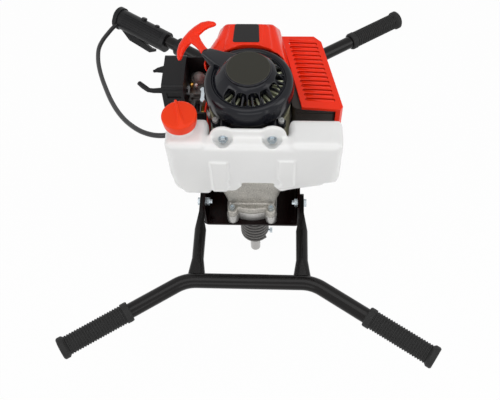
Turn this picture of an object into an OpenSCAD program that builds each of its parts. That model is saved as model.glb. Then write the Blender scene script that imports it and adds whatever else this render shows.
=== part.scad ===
// Power head of a two-person petrol earth auger, without its drill.
// Millimetres. The origin is on the drive axis, at the shoulder where the drill's socket seats; +Z is up,
// -Y is the side of the fuel tank.

/* [Base plate] */
// Height of the plate's underside above the drill shoulder
plate_z = 150; // [145:1:190]
// Width over the two upturned flanges
plate_w = 168; // [150:1:190]
// Length of the plate, front to back
plate_len = 240; // [230:1:260]
// Distance from the drive axis to the front edge
plate_front = 75; // [75:1:90]
// Thickness of the plate
plate_t = 4; // [3:0.5:6]
// Height of the flanges
flange_h = 62; // [55:1:80]
// Outer radius of the flange bends
plate_bend_r = 8; // [7:0.5:10]

/* [Handlebars] */
// Height of the handlebars above the plate's underside
bar_rise = 34; // [30:1:40]
// Distance from the middle of the frame to each crossbar
bar_dy = 247; // [240:1:300]
// Outer radius of the handlebar tube
bar_r = 12.5; // [11:0.5:15]
// Wall of the handlebar tube
bar_wall = 1.5; // [1:0.25:3]
// Half the distance between the two bends
bend_x = 105; // [98:1:140]
// Angle of the bends
bend_a = 33.5; // [20:0.5:45]
// Radius of the bends
bend_R = 60; // [45:1:80]
// Length of a handle leg from its bend to the tube's end
leg_len = 220; // [200:1:260]
// Outer radius of an arm's tube
arm_r = 10; // [8:0.5:12]
// Distance from the middle of the frame to the arm bolts
arm_bolt_dy = 92; // [80:1:100]
// Thickness of an arm's flattened end
arm_flat_t = 7; // [5:0.5:9]
// Height of an arm's flattened end
arm_flat_h = 27; // [22:1:32]
// Radius of the arm bolts
arm_bolt_r = 4; // [3:0.5:5]

/* [Grips] */
// Length of a rubber grip
grip_len = 118; // [100:1:130]
// Outer radius of a rubber grip over its ribs
grip_r = 16; // [15:0.25:18]
// Depth of the rib grooves
grip_groove = 1.2; // [0.6:0.1:1.5]
// Number of ribs on a grip
grip_ribs = 22; // [10:1:30]
// Radius of the flared end
grip_flare_r = 18.5; // [18:0.25:20]
// Length of the throttle grip
throttle_len = 136; // [130:1:150]
// Radius of the throttle grip
throttle_r = 18; // [16.5:0.25:20]
// How far the throttle grip's belly hangs below its round top
throttle_belly = 7; // [6:0.5:10]
// Roll of the throttle grip, trigger towards the front
throttle_roll = 35; // [0:1:50]
// Width of the trigger
trigger_w = 9; // [7:0.5:10]
// Radius of the trigger's pin
trigger_pin_r = 2; // [1.5:0.25:2.5]

/* [Gearbox] */
// Height of the bottom cover
gb_cover_h = 21; // [18:1:26]
// Height of the screw flange of the housing
gb_flange_h = 16; // [12:1:20]
// Height of the housing above its flange
gb_body_h = 69; // [65:1:85]
// Half width of the gearbox at its flange
gb_half_w = 44; // [42:1:50]
// Radius of the round front and back of the flange
gb_r = 67; // [64:1:74]
// Half width of the housing at its top
gb_top_half_w = 53; // [52:1:60]
// Distance of the screw ears from the middle, across
gb_ear_x = 34; // [30:1:38]
// Distance of the screw ears from the middle, front to back
gb_ear_y = 64; // [62:1:70]
// Radius of a screw ear
gb_ear_r = 10; // [8:0.5:12]
// Radius of the gearbox screws
gb_screw_r = 3; // [2.5:0.5:4]
// Wall of the gearbox casting
gb_wall = 6; // [5:0.5:7]
// Tooth module of both gear pairs
gear_m = 1; // [1:0.05:1.1]
// Teeth of a gear
gear_teeth = 40; // [36:2:44]
// Teeth of a pinion
pinion_teeth = 8; // [8:1:10]
// Face width of the gears
gear_w = 12; // [10:0.5:14]

/* [Shock absorber] */
// Radius of the shaft end that takes the drill
drill_shaft_r = 10; // [8:0.5:12]
// Length of the shaft end
drill_shaft_len = 66; // [50:1:80]
// Radius of the cross hole for the drill's pin
drill_pin_r = 4.2; // [3:0.1:5]
// Height of the cross hole above the shaft's tip
drill_pin_z = 22; // [15:1:30]
// Wire diameter of the spring
spring_wire = 9.5; // [8:0.1:10]
// Mean radius of the spring
spring_r = 23.5; // [22:0.5:26]
// Rise of the spring in one turn
spring_pitch = 10.5; // [10.3:0.1:11]
// Turns of the spring
spring_turns = 12; // [9:1:12]
// Angle at which the spring's lower end stops
spring_end_a = -55; // [-70:1:-30]
// Gap between the spring and the hubs inside it
spring_gap = 0.4; // [0.3:0.1:1]

/* [Engine] */
// Height of the crankcase
case_h = 80; // [75:1:95]
// Radius of the crankcase
case_r = 55; // [53:0.5:58]
// Height of the fan housing
fan_h = 60; // [55:1:70]
// Radius of the fan housing
fan_r = 63; // [62:0.5:68]
// Wall of the fan housing
fan_wall = 4; // [3:0.5:5]
// Radius of the flywheel
flywheel_r = 50; // [46:0.5:52]
// Radius of the crankshaft
crank_r = 8; // [7:0.5:9]
// Half width of the cylinder's fins
fin_half = 38; // [36:1:39]
// Number of cooling fins
fin_count = 9; // [6:1:10]
// Distance from the crank axis to the cylinder's top fin
cyl_end = 112; // [105:1:114]
// Height of the cylinder's middle above the crankcase's foot
cyl_rise = 42; // [40:1:46]
// Height of the red cover's top above the crankcase's foot
cover_rise = 190; // [184:1:191]
// Half width of the red cover at its back
cover_back_half = 49; // [48:1:52]
// Half width of the red cover at its front
cover_front_half = 64; // [64:1:66]
// Distance of the red cover's back from the crank axis
cover_back = 131; // [129:1:140]
// Distance of the red cover's front edge from the crank axis
cover_front = 34; // [30:1:40]
// Wall of the red plastic covers
cover_wall = 2.5; // [2:0.25:3]

/* [Starter] */
// Height of the starter cover's ring above the fan housing
ring_rise = 50; // [46:1:56]
// Outer radius of the starter's ring
ring_r = 66; // [65:0.5:70]
// Width of the starter's ring
ring_w = 13; // [11:0.5:15]
// Height of the hub's top above the ring's top
hub_rise = 24; // [18:1:28]
// Radius of the hub
hub_r = 34; // [31:0.5:36]
// Number of radial ribs
rib_count = 20; // [12:2:24]
// Radius at which the rope leaves the reel
reel_r = 26; // [22:0.5:27]
// Direction in which the rope is pulled
pull_a = 123.2; // [110:0.1:140]
// Diameter of the rope
rope_d = 4; // [3:0.5:5]
// Distance from the tangent point to the rope outlet
outlet_t = 84; // [80:1:90]
// Span of the pull handle
pull_span = 80; // [76:1:84]
// Roll of the pull handle round the rope
pull_roll = -30; // [-40:1:-25]

/* [Fuel tank] */
// Left end of the tank
tank_left = -122; // [-128:1:-121]
// Right end of the tank
tank_right = 140; // [134:1:146]
// Front face of the tank
tank_front = -100; // [-106:1:-96]
// Back face of the tank
tank_back = -72; // [-74:1:-70]
// Back face of the two wings
wing_back = -46; // [-50:1:-42]
// Height of the tank's bottom above the plate's underside
tank_low = 136; // [125:1:140]
// Height of the tank's top above the plate's underside
tank_top = 268; // [262:1:272]
// Wall of the tank
tank_wall = 2.5; // [2:0.25:3.5]
// Rounding of the tank's edges
tank_round = 13; // [10:0.5:16]
// Position of the filler neck across
neck_x = -98; // [-99:1:-96]
// Position of the filler neck, front to back
neck_y = -66; // [-69:1:-66]
// Outer radius of the filler neck
neck_r = 19; // [17:0.5:20]
// Radius of the cap
cap_r = 26; // [25:0.5:28]
// Height of the cap
cap_h = 25; // [22:1:28]
// Position of the tank bolts across
tank_bolt_x = 36; // [32:1:40]
// Height of the tank bolts above the plate's underside
tank_bolt_z = 258; // [252:1:262]

/* [Intake] */
// Left face of the air filter
filter_left = -146; // [-150:1:-142]
// Right face of the air filter
filter_right = -110; // [-113:1:-108]
// Front face of the air filter
filter_front = 46; // [42:1:50]
// Back face of the air filter
filter_back = 122; // [116:1:126]
// Bottom of the air filter above the plate's underside
filter_low = 112; // [105:1:118]
// Top of the air filter above the plate's underside
filter_top = 228; // [222:1:232]
// Wall of the air filter's case
filter_wall = 2.5; // [2:0.25:3]

/* [Exhaust] */
// Height of the muffler guard's top above the plate's underside
guard_top = 256; // [252:1:262]
// Height of the guard's side wall
guard_h = 62; // [50:1:70]
// Number of cooling slots in the guard
guard_slots = 14; // [10:1:15]
// Wall of the guard
guard_wall = 2.5; // [2:0.25:3]

/* [Fits] */
// Radial clearance of a running fit
run_fit = 0.05; // [0.03:0.01:0.08]
// Gap left between neighbouring pieces
gap = 0.3; // [0.3:0.05:0.5]

/* [Hidden] */
$fn = 48;
frame_y = plate_len / 2 - plate_front;
bar_z = plate_z + bar_rise;
bend_tl = bend_R * tan(bend_a / 2);
arm_x = plate_w / 2 + arm_flat_t / 2;
arm_len = bar_dy - arm_bolt_dy;
gb_z = plate_z + plate_t;
gb_flange_z = gb_z + gb_cover_h;
gb_body_z = gb_flange_z + gb_flange_h;
case_z = gb_body_z + gb_body_h;
fan_z = case_z + case_h;
starter_z = fan_z + fan_h;
ring_z = starter_z + ring_rise;
hub_z = ring_z + hub_rise;
cyl_z = case_z + cyl_rise;
lay_y = gear_m * (gear_teeth + pinion_teeth) / 2 + 0.4;
grip_start = leg_len - grip_len;
BLACK = "#161616";
RED = "#e8401f";
CAST = "#b9b6ae";
STEEL = "#9aa0a6";
ZINC = "#c3cdd2";
DARK = "#222228";
RUBBER = "#1b1b1b";
BRASS = "#b08a3a";

// Rounded rectangle with true corner arcs
module rsq(w, h, r) {
    square([w - 2 * r, h], center = true);
    square([w, h - 2 * r], center = true);
    for (x = [-1, 1], y = [-1, 1]) translate([x * (w / 2 - r), y * (h / 2 - r)]) circle(r = r);
}

// Box between two corners whose edges are all rounded: three rounded bars, one along each axis, meet in it
module soft_box(lo, hi, r) {
    size = hi - lo;
    translate((lo + hi) / 2) intersection() {
        translate([0, 0, -size.z / 2]) linear_extrude(size.z) rsq(size.x, size.y, r);
        rotate([90, 0, 0]) translate([0, 0, -size.y / 2]) linear_extrude(size.y)
            rsq(size.x, size.z, 0.9 * r);
        rotate([90, 0, 90]) translate([0, 0, -size.x / 2]) linear_extrude(size.x)
            rsq(size.y, size.z, 0.8 * r);
    }
}

module hex_head(r, h) { cylinder(r = r, h = h, $fn = 6); }

// Hexagon bolt along +Z: head below zero, shank and nut above
module hex_bolt(r, len, head_r, nut_z = -1) {
    translate([0, 0, -0.7 * head_r]) hex_head(head_r, 0.7 * head_r);
    cylinder(r = r, h = len);
    if (nut_z >= 0) translate([0, 0, nut_z]) hex_head(head_r, 0.75 * head_r);
}

// Place children on one handle leg: +X runs along the leg from its bend
module on_leg(sx, sy) {
    translate([sx * bend_x, frame_y + sy * bar_dy, bar_z])
        rotate([0, 0, atan2(sy * sin(bend_a), sx * cos(bend_a))]) children();
}

// Tube swept along a list of points, with flat ends
function unit(v) = v / norm(v);
function sweep_dir(p, i) =
    i == 0 ? unit(p[1] - p[0])
    : i == len(p) - 1 ? unit(p[i] - p[i - 1])
    : unit(unit(p[i + 1] - p[i]) + unit(p[i] - p[i - 1]));
function ring_at(p, i, r, n) =
    let (t = sweep_dir(p, i), s = unit(cross(t, [0, 0, 1])), u = cross(s, t))
    [for (k = [0:n - 1]) p[i] + r * (cos(360 * k / n) * s + sin(360 * k / n) * u)];
module swept_tube(p, r, n) {
    rings = len(p);
    points = [for (i = [0:rings - 1]) each ring_at(p, i, r, n)];
    sides = [for (i = [0:rings - 2], k = [0:n - 1])
        let (a = i * n + k, b = i * n + (k + 1) % n)
        each [[a, b, b + n], [a, b + n, a + n]]];
    first = [for (k = [1:n - 2]) [0, k + 1, k]];
    end = (rings - 1) * n;
    last = [for (k = [1:n - 2]) [end, end + k, end + k + 1]];
    polyhedron(points = points, faces = concat(sides, first, last), convexity = 10);
}

// Straight-flanked gear: teeth slimmer than their gaps leave the backlash
function gear_points(teeth, m) =
    let (r = m * teeth / 2, root = r - 1.15 * m, tip = r + 0.85 * m, step = 360 / teeth)
    [for (i = [0:teeth - 1]) each [for (q = [[root, -0.27], [tip, -0.11], [tip, 0.11], [root, 0.27]])
        q[0] * [cos(step * (i + q[1])), sin(step * (i + q[1]))]]];
module gear(teeth, w, phase = 0) {
    linear_extrude(w) rotate(phase) polygon(gear_points(teeth, gear_m));
}

// Frame

module u_profile() {
    difference() {
        translate([0, flange_h / 2 + plate_bend_r]) rsq(plate_w, flange_h + 2 * plate_bend_r, plate_bend_r);
        translate([0, flange_h / 2 + plate_bend_r + plate_t])
            rsq(plate_w - 2 * plate_t, flange_h + 2 * plate_bend_r, plate_bend_r - plate_t);
        translate([-plate_w, flange_h]) square([2 * plate_w, 3 * plate_bend_r + plate_t]);
    }
}

module arm_bolt_spots() {
    for (sx = [-1, 1], sy = [-1, 1])
        translate([sx * arm_x, frame_y + sy * arm_bolt_dy, bar_z]) rotate([0, -90 * sx, 0]) children();
}

module gear_screw_spots() {
    for (x = [-1, 1], y = [-1, 1]) translate([x * gb_ear_x, y * gb_ear_y, 0]) children();
}

module base_plate() {
    color(BLACK) difference() {
        translate([0, plate_len - plate_front, plate_z]) rotate([90, 0, 0])
            linear_extrude(plate_len) u_profile();
        translate([0, 0, plate_z - 1]) cylinder(r = seal_r + gap, h = plate_t + 2);
        gear_screw_spots() translate([0, 0, plate_z - 1]) cylinder(r = gb_screw_r + gap, h = plate_t + 2);
        arm_bolt_spots() translate([0, 0, -arm_flat_t]) cylinder(r = arm_bolt_r + gap, h = 4 * arm_flat_t);
    }
}

// Path of a handlebar, filled: the straight lengths run a little way into the bends, a hair thinner
module bar_path(r, extra) {
    mid = bend_x - bend_tl;
    lap = 1;
    straight_r = r - 0.02;
    translate([-mid - lap, 0, 0]) rotate([0, 90, 0]) cylinder(r = straight_r, h = 2 * (mid + lap));
    for (m = [0, 1]) mirror([m, 0, 0]) translate([mid, bend_R, 0]) rotate([0, 0, -90]) {
        rotate_extrude(angle = bend_a) translate([bend_R, 0]) circle(r = r);
        rotate([0, 0, bend_a]) translate([bend_R, -lap, 0]) rotate([-90, 0, 0])
            cylinder(r = straight_r, h = leg_len - bend_tl + lap + extra);
    }
}
module handlebar(sy) {
    color(BLACK) translate([0, frame_y + sy * bar_dy, bar_z]) mirror([0, sy < 0 ? 1 : 0, 0]) difference() {
        bar_path(bar_r, 0);
        bar_path(bar_r - bar_wall, 1);
    }
}
module front_bar() { handlebar(-1); }
module rear_bar() { handlebar(1); }

arm_flat_len = 30;
arm_flare = 27;
arm_neck = 28;
arm_tip = 16;
// Handle arm: a tube pressed flat upright at its bolt and flattened crossways at the weld
module arm(sx, sy) {
    slab = 1;
    round_y = arm_flat_len + arm_neck;
    weld_y = arm_len - bar_r;
    color(BLACK) translate([sx * (plate_w / 2 + arm_flat_t / 2), frame_y + sy * arm_bolt_dy, bar_z])
        mirror([0, sy < 0 ? 1 : 0, 0]) difference() {
            union() {
                rotate([0, 90, 0]) translate([0, 0, -arm_flat_t / 2]) linear_extrude(arm_flat_t) {
                    translate([-arm_flat_h / 2, 0]) square([arm_flat_h, arm_flat_len]);
                    intersection() {
                        circle(r = arm_tip);
                        square([arm_flat_h, 2 * arm_tip], center = true);
                    }
                }
                hull() {
                    translate([-arm_flat_t / 2, arm_flat_len - slab, -arm_flat_h / 2])
                        cube([arm_flat_t, slab, arm_flat_h]);
                    translate([0, round_y, 0]) rotate([-90, 0, 0]) cylinder(r = arm_r, h = slab, $fn = 32);
                }
                translate([0, round_y, 0]) rotate([-90, 0, 0])
                    cylinder(r = arm_r, h = weld_y - arm_flare - round_y);
                hull() {
                    translate([0, weld_y - arm_flare - slab, 0]) rotate([-90, 0, 0])
                        cylinder(r = arm_r, h = slab, $fn = 32);
                    for (x = [-1, 1]) translate([x * arm_flare / 4, weld_y, 0]) rotate([-90, 0, 0])
                        cylinder(r = 0.75 * arm_r, h = bar_r, $fn = 32);
                }
            }
            translate([-2 * arm_flare, arm_len, 0]) rotate([0, 90, 0])
                cylinder(r = bar_r + run_fit, h = 4 * arm_flare);
            translate([-arm_flat_t, 0, 0]) rotate([0, 90, 0])
                cylinder(r = arm_bolt_r + gap, h = 2 * arm_flat_t);
        }
}
module front_left_arm() { arm(-1, -1); }
module front_right_arm() { arm(1, -1); }
module rear_left_arm() { arm(-1, 1); }
module rear_right_arm() { arm(1, 1); }

module arm_bolts() {
    head_r = 1.75 * arm_bolt_r;
    stack = arm_flat_t + plate_t;
    color(ZINC) arm_bolt_spots() translate([0, 0, -arm_flat_t / 2])
        hex_bolt(arm_bolt_r, stack + 2.2 * head_r, head_r, stack);
}

// Rubber grip: smooth collar, ring ribs, flared closed end
collar_len = 12;
flare_len = 9;
grip_cap = 4;
function grip_profile() =
    let (bore = bar_r + run_fit, x0 = collar_len, x1 = grip_len - flare_len, step = (x1 - x0) / grip_ribs)
    concat([[bore, 0], [grip_r, 0], [grip_r + 1, 2], [grip_r + 1, x0 - 1]],
        [for (i = [0:grip_ribs - 1]) each [
            [grip_r - grip_groove, x0 + step * i], [grip_r - grip_groove, x0 + step * (i + 0.35)],
            [grip_r, x0 + step * (i + 0.5)], [grip_r, x0 + step * (i + 0.85)]]],
        [[grip_r - grip_groove, x1], [grip_flare_r, x1 + 4], [grip_flare_r, grip_len + grip_cap - 2],
         [grip_flare_r - 2, grip_len + grip_cap], [0, grip_len + grip_cap], [0, grip_len], [bore,
             grip_len]]);
module grip(sx, sy) {
    color(RUBBER) on_leg(sx, sy) translate([grip_start, 0, 0]) rotate([0, 90, 0])
        rotate_extrude() polygon(grip_profile());
}
module front_left_grip() { grip(-1, -1); }
module front_right_grip() { grip(1, -1); }
module rear_right_grip() { grip(1, 1); }

// Throttle grip on the rear left leg: two half shells, trigger, lockout and stop switch
throttle_start = leg_len - grip_len;
trigger_pivot = throttle_len - 16;
trigger_pivot_z = -(throttle_r + throttle_belly - 6);
slot_x0 = 22;
lock_x = 70;
lock_r = 6;
switch_x = 34;
switch_r = 5;
switch_top = 2.5;
lock_top = 4;
module throttle_frame() {
    on_leg(-1, 1) translate([throttle_start, 0, 0]) rotate([throttle_roll, 0, 0]) children();
}
module throttle_section(r) {
    circle(r = r);
    translate([0, -throttle_belly / 2]) square([2 * r, throttle_belly], center = true);
    translate([0, -throttle_belly]) circle(r = r);
}
module throttle_solid() {
    end_r = 2.5;
    difference() {
        union() {
            rotate([90, 0, 90]) linear_extrude(throttle_len) throttle_section(throttle_r);
            translate([throttle_len - 10, 0, 0]) rotate([90, 0, 90]) linear_extrude(10)
                throttle_section(throttle_r + end_r);
        }
        translate([-1, 0, 0]) rotate([0, 90, 0]) cylinder(r = bar_r + run_fit, h = grip_len + 1);
        translate([slot_x0, -trigger_w / 2 - gap, -throttle_r - throttle_belly - 5])
            cube([trigger_pivot + 7 - slot_x0, trigger_w + 2 * gap,
                throttle_belly + 5 + throttle_r - bar_r - 1.2]);
        translate([trigger_pivot, -throttle_r, trigger_pivot_z]) rotate([-90, 0, 0])
            cylinder(r = trigger_pin_r + run_fit, h = 2 * throttle_r);
        translate([lock_x, 0, bar_r + 1]) cylinder(r = lock_r + run_fit, h = throttle_r);
        translate([switch_x, 0, bar_r + 1]) cylinder(r = switch_r + run_fit, h = throttle_r);
    }
}
module throttle_half(side) {
    reach = 2 * throttle_len;
    color(BLACK) difference() {
        throttle_frame() intersection() {
            throttle_solid();
            translate([-reach / 4, -reach / 2, side > 0 ? 0 : -reach]) cube(reach);
        }
        on_leg(-1, 1) translate([throttle_start + throttle_len - 10, bar_r + 0.6, -4]) rotate([-90, 0, 0])
            cylinder(r = cable_r + run_fit, h = 3 * cable_r + throttle_belly);
    }
}
module throttle_top() { throttle_half(1); }
module throttle_bottom() { throttle_half(-1); }

module throttle_trigger() {
    z = trigger_pivot_z;
    belly = -(throttle_r + throttle_belly);
    color(DARK) throttle_frame() difference() {
        translate([0, trigger_w / 2, 0]) rotate([90, 0, 0]) union() {
            translate([trigger_pivot, z, 0]) cylinder(r = trigger_pin_r + 2.6, h = trigger_w);
            linear_extrude(trigger_w) polygon([[trigger_pivot + 2, z + 3], [trigger_pivot + 2, z - 3],
                [trigger_pivot - 28, belly - 12], [slot_x0 + 12, belly - 15], [slot_x0 + 2, belly - 9],
                [slot_x0 + 3, belly - 4], [slot_x0 + 14, belly - 5]]);
        }
        translate([trigger_pivot, -throttle_r, z]) rotate([-90, 0, 0])
            cylinder(r = trigger_pin_r + run_fit, h = 2 * throttle_r);
    }
}
module trigger_pin() {
    half = sqrt(pow(throttle_r, 2) - pow(max(0, -trigger_pivot_z - throttle_belly), 2)) - 1;
    color(STEEL) throttle_frame() translate([trigger_pivot, -half, trigger_pivot_z]) rotate([-90, 0, 0])
        cylinder(r = trigger_pin_r, h = 2 * half);
}
module press_button(x, r, top) {
    stroke = 2.5;
    throttle_frame() translate([x, 0, bar_r + 1 + stroke]) {
        cylinder(r = r, h = throttle_r + top - bar_r - 1 - stroke - 1);
        translate([0, 0, throttle_r + top - bar_r - 2 - stroke]) cylinder(r1 = r, r2 = r - 1, h = 1);
    }
}
module trigger_lockout() { color(DARK) press_button(lock_x, lock_r, lock_top); }
module stop_switch() { color(RED) press_button(switch_x, switch_r, switch_top); }

// Throttle cable and stop wires in one sleeve: from the throttle grip's end round to the carburettor.
// Heights are above the plate's underside.
cable_r = 4.5;
cable_route = [[-303, 406, 30], [-313, 391, 30], [-322, 372, 30], [-329, 350, 32], [-332, 324, 35],
    [-328, 294, 39], [-320, 264, 45], [-308, 230, 52], [-292, 192, 61], [-274, 153, 72], [-254, 116, 85],
    [-233, 84, 98], [-212, 58, 111], [-193, 39, 122], [-174, 25, 132], [-157, 16, 141], [-140, 12, 148],
    [-124, 14, 153], [-110, 22, 157], [-99, 34, 160], [-94, 50, 161], [-94, 66, 161]];
module throttle_cable() {
    color(BLACK) translate([0, 0, plate_z]) swept_tube(cable_route, cable_r, 10);
}

// Gearbox

bearing_r = 16;
seal_r = 16;
out_r = 10;
lay_r = 6;
wall_z = gb_body_z + 20;
drum_r = 39;
chamber_r = drum_r + 2.5;
gear_low_z = gb_z + 7;
gear_high_z = gb_flange_z + 2;

module gear_plan() {
    intersection() {
        circle(r = gb_r);
        square([2 * gb_half_w, 3 * gb_r], center = true);
    }
    gear_screw_spots() circle(r = gb_ear_r);
}
module gear_room() {
    circle(r = gear_m * gear_teeth / 2 + 3);
    translate([0, lay_y]) circle(r = gear_m * gear_teeth / 2 + 3);
    translate([-20, 0]) square([40, lay_y]);
}

module gearbox_cover() {
    color("#c9c7c0") difference() {
        translate([0, 0, gb_z]) linear_extrude(gb_cover_h) gear_plan();
        translate([0, 0, gb_z + gb_wall]) linear_extrude(gb_cover_h) gear_room();
        translate([0, 0, gb_z - 1]) cylinder(r = seal_r + run_fit, h = gb_wall + 2);
        translate([0, lay_y, gb_z + 2]) cylinder(r = lay_r + run_fit, h = gb_wall);
        gear_screw_spots() translate([0, 0, gb_z - 1]) cylinder(r = gb_screw_r + gap, h = gb_cover_h + 2);
    }
}

module gearbox_housing() {
    top_y = gb_ear_y - 6;
    color(CAST) difference() {
        union() {
            translate([0, 0, gb_flange_z]) linear_extrude(gb_flange_h) gear_plan();
            hull() {
                translate([0, 0, gb_body_z - 1]) linear_extrude(1)
                    rsq(2 * gb_half_w, 2 * (gb_ear_y - gb_ear_r), 8, $fn = 32);
                translate([0, 0, case_z - 4]) linear_extrude(4)
                    rsq(2 * gb_top_half_w, 2 * top_y, 12, $fn = 32);
            }
        }
        translate([0, 0, gb_flange_z - 1])
            linear_extrude(gear_high_z + gear_w + 3 - gb_flange_z) gear_room();
        translate([0, lay_y, gb_flange_z]) cylinder(r = lay_r + run_fit, h = wall_z - gb_flange_z - 2);
        translate([0, 0, gb_flange_z]) cylinder(r = bearing_r + run_fit, h = wall_z - gb_flange_z + 1);
        translate([0, 0, wall_z]) cylinder(r = chamber_r, h = case_z);
        gear_screw_spots() translate([0, 0, gb_flange_z - 1])
            cylinder(r = gb_screw_r + gap, h = gb_flange_h + 2);
    }
}

module gearbox_screws() {
    head_h = 5;
    color(ZINC) gear_screw_spots() translate([0, 0, plate_z - 6]) {
        cylinder(r = gb_screw_r, h = 6 + plate_t + gb_cover_h + gb_flange_h);
        translate([0, 0, 6 + plate_t + gb_cover_h + gb_flange_h]) difference() {
            cylinder(r = 1.7 * gb_screw_r, h = head_h);
            translate([0, 0, head_h - 3]) cylinder(r = 0.85 * gb_screw_r, h = 4, $fn = 6);
        }
        translate([0, 0, 6 - 5.3]) hex_head(1.9 * gb_screw_r, 5.3);
    }
}

// Output shaft with its gear; the shock absorber's upper hub is fixed on its lower end
hub_top = plate_z - 4;
module output_shaft() {
    color(STEEL) {
        translate([0, 0, gear_low_z]) difference() {
            gear(gear_teeth, gear_w, gear_phase);
            translate([0, 0, -1]) cylinder(r = out_r - 2, h = gear_w + 2);
        }
        translate([0, 0, hub_top - 30]) cylinder(r = out_r, h = gear_low_z - hub_top + 30);
        translate([0, 0, gear_low_z]) cylinder(r = out_r - 1, h = gear_w + 1);
    }
}
gear_phase = 0;
module layshaft() {
    color(STEEL) translate([0, lay_y, 0]) {
        translate([0, 0, gb_z + 2 + gap]) cylinder(r = lay_r - 3, h = wall_z - gb_z - 4 - 2 * gap);
        translate([0, 0, gb_z + 2 + gap]) cylinder(r = lay_r, h = gear_low_z - gb_z - 2 - 2 * gap);
        translate([0, 0, gear_low_z]) gear(pinion_teeth, gear_w + 1, lay_pinion_phase);
        translate([0, 0, gear_high_z]) gear(gear_teeth, gear_w, lay_gear_phase);
        translate([0, 0, gear_high_z + gear_w])
            cylinder(r = lay_r, h = wall_z - 2 - gap - gear_high_z - gear_w);
    }
}
lay_pinion_phase = -90 + 180 / pinion_teeth;
lay_gear_phase = -90 + 180 / gear_teeth;
pinion_phase = 90;
module input_pinion() {
    color(STEEL) {
        translate([0, 0, gear_high_z]) gear(pinion_teeth, gear_w + 1, pinion_phase);
        translate([0, 0, gear_high_z + gear_w + 1])
            cylinder(r = 4.5, h = wall_z + 4 - gear_high_z - gear_w - 1);
    }
}
module pinion_bearing() {
    color(STEEL) translate([0, 0, gear_high_z + gear_w + 3]) difference() {
        cylinder(r = bearing_r, h = 10);
        translate([0, 0, -1]) cylinder(r = 4.5 + run_fit, h = 12);
    }
}
module oil_seal() {
    color(RUBBER) translate([0, 0, gb_z]) difference() {
        cylinder(r = seal_r, h = gb_wall);
        translate([0, 0, -1]) cylinder(r = out_r + run_fit, h = gb_wall + 2);
    }
}
drum_z = wall_z + 4;
drum_h = 24;
module clutch_drum() {
    color(STEEL) translate([0, 0, drum_z]) difference() {
        cylinder(r = drum_r, h = drum_h);
        translate([0, 0, 3]) cylinder(r = drum_r - 2.5, h = drum_h);
    }
}

// Shock absorber

spring_rings = 10;
spring_low = spring_wire / 2;
spring_n = spring_turns * spring_rings;
function coil_point(i) =
    let (a = spring_end_a - 360 * i / spring_rings)
    [spring_r * cos(a), spring_r * sin(a), spring_low + spring_pitch * i / spring_rings];
function coil_tangent(a) = [-sin(a), cos(a), 0];
spring_path = concat(
    [coil_point(0) + spring_wire * coil_tangent(spring_end_a)],
    [for (i = [0:spring_n]) coil_point(i)],
    [coil_point(spring_n) - spring_wire * coil_tangent(spring_end_a)]);
spring_least = min([for (i = [0:spring_rings], k = [spring_rings - 1:spring_rings + 1])
    norm(coil_point(i + k) - coil_point(i))]) - spring_wire;
echo(spring_least_gap = spring_least);
module shock_spring() {
    color("#4a4a4a") swept_tube(spring_path, spring_wire / 2, 6);
}
hub_in_r = spring_r * cos(180 / spring_rings) - spring_wire / 2 - spring_gap;
hub_split = spring_low + spring_pitch * spring_turns / 2;
stop_r = 3;
module spring_hub() {
    color(STEEL) difference() {
        translate([0, 0, hub_split + 5]) cylinder(r = hub_in_r, h = hub_top - hub_split - 5);
        translate([0, 0, hub_top - 30]) cylinder(r = out_r + run_fit, h = 40);
    }
}
module drill_shaft() {
    color(ZINC) difference() {
        union() {
            cylinder(r = hub_in_r, h = hub_split - 5);
            translate([0, 0, 2 - drill_shaft_len]) cylinder(r = drill_shaft_r, h = drill_shaft_len - 1);
            translate([0, 0, -drill_shaft_len]) cylinder(r1 = drill_shaft_r - 2, r2 = drill_shaft_r, h = 2);
        }
        translate([-2 * drill_shaft_r, 0, drill_pin_z - drill_shaft_len]) rotate([0, 90, 0])
            cylinder(r = drill_pin_r, h = 4 * drill_shaft_r);
        translate([hub_in_r / 2, 0, stop_r + 1]) rotate([0, 90, 0])
            cylinder(r = stop_r + run_fit, h = hub_in_r);
    }
}
// Bolt that the spring's lower end bears on
module spring_stop() {
    color(ZINC) translate([hub_in_r / 2, 0, stop_r + 1]) rotate([0, 90, 0]) {
        cylinder(r = stop_r, h = spring_r + spring_wire / 2 + 2 - hub_in_r / 2);
        translate([0, 0, spring_r + spring_wire / 2 + 2 - hub_in_r / 2]) hex_head(1.8 * stop_r, 5);
    }
}

// Engine

clutch_z = drum_z + 5;
clutch_h = 17;
clutch_hub_r = 15;
module clutch_shoes() {
    shoe_r = drum_r - 2.5 - 0.6;
    color("#7a7468") translate([0, 0, clutch_z]) for (m = [0, 1]) rotate([0, 0, 180 * m]) difference() {
        cylinder(r = shoe_r, h = clutch_h);
        translate([0, 0, -1]) cylinder(r = clutch_hub_r + run_fit, h = clutch_h + 2);
        translate([-2 * shoe_r, -2 * shoe_r + 2, -1]) cube([4 * shoe_r, 2 * shoe_r, clutch_h + 2]);
    }
}
web_r = 34;
web_z = cyl_z - 22;
web_t = 12;
module crankshaft() {
    color(STEEL) {
        translate([0, 0, clutch_z]) cylinder(r = clutch_hub_r, h = clutch_h);
        translate([0, 0, clutch_z + clutch_h]) cylinder(r = crank_r, h = web_z - clutch_z - clutch_h);
        for (z = [web_z, cyl_z + 10]) translate([0, 0, z]) linear_extrude(web_t) intersection() {
            circle(r = web_r);
            union() {
                translate([-web_r, 0]) square([2 * web_r, web_r]);
                square([26, 2 * web_r], center = true);
            }
        }
        translate([0, -15, web_z + web_t]) cylinder(r = 7, h = cyl_z + 10 - web_z - web_t);
        translate([0, 0, cyl_z + 10 + web_t]) cylinder(r = crank_r, h = fan_z + 40 - cyl_z - 10 - web_t);
    }
}
room_r = web_r + 2;
room_z = web_z - 2;
room_h = cyl_z + 10 + web_t + 2 - room_z;
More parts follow.
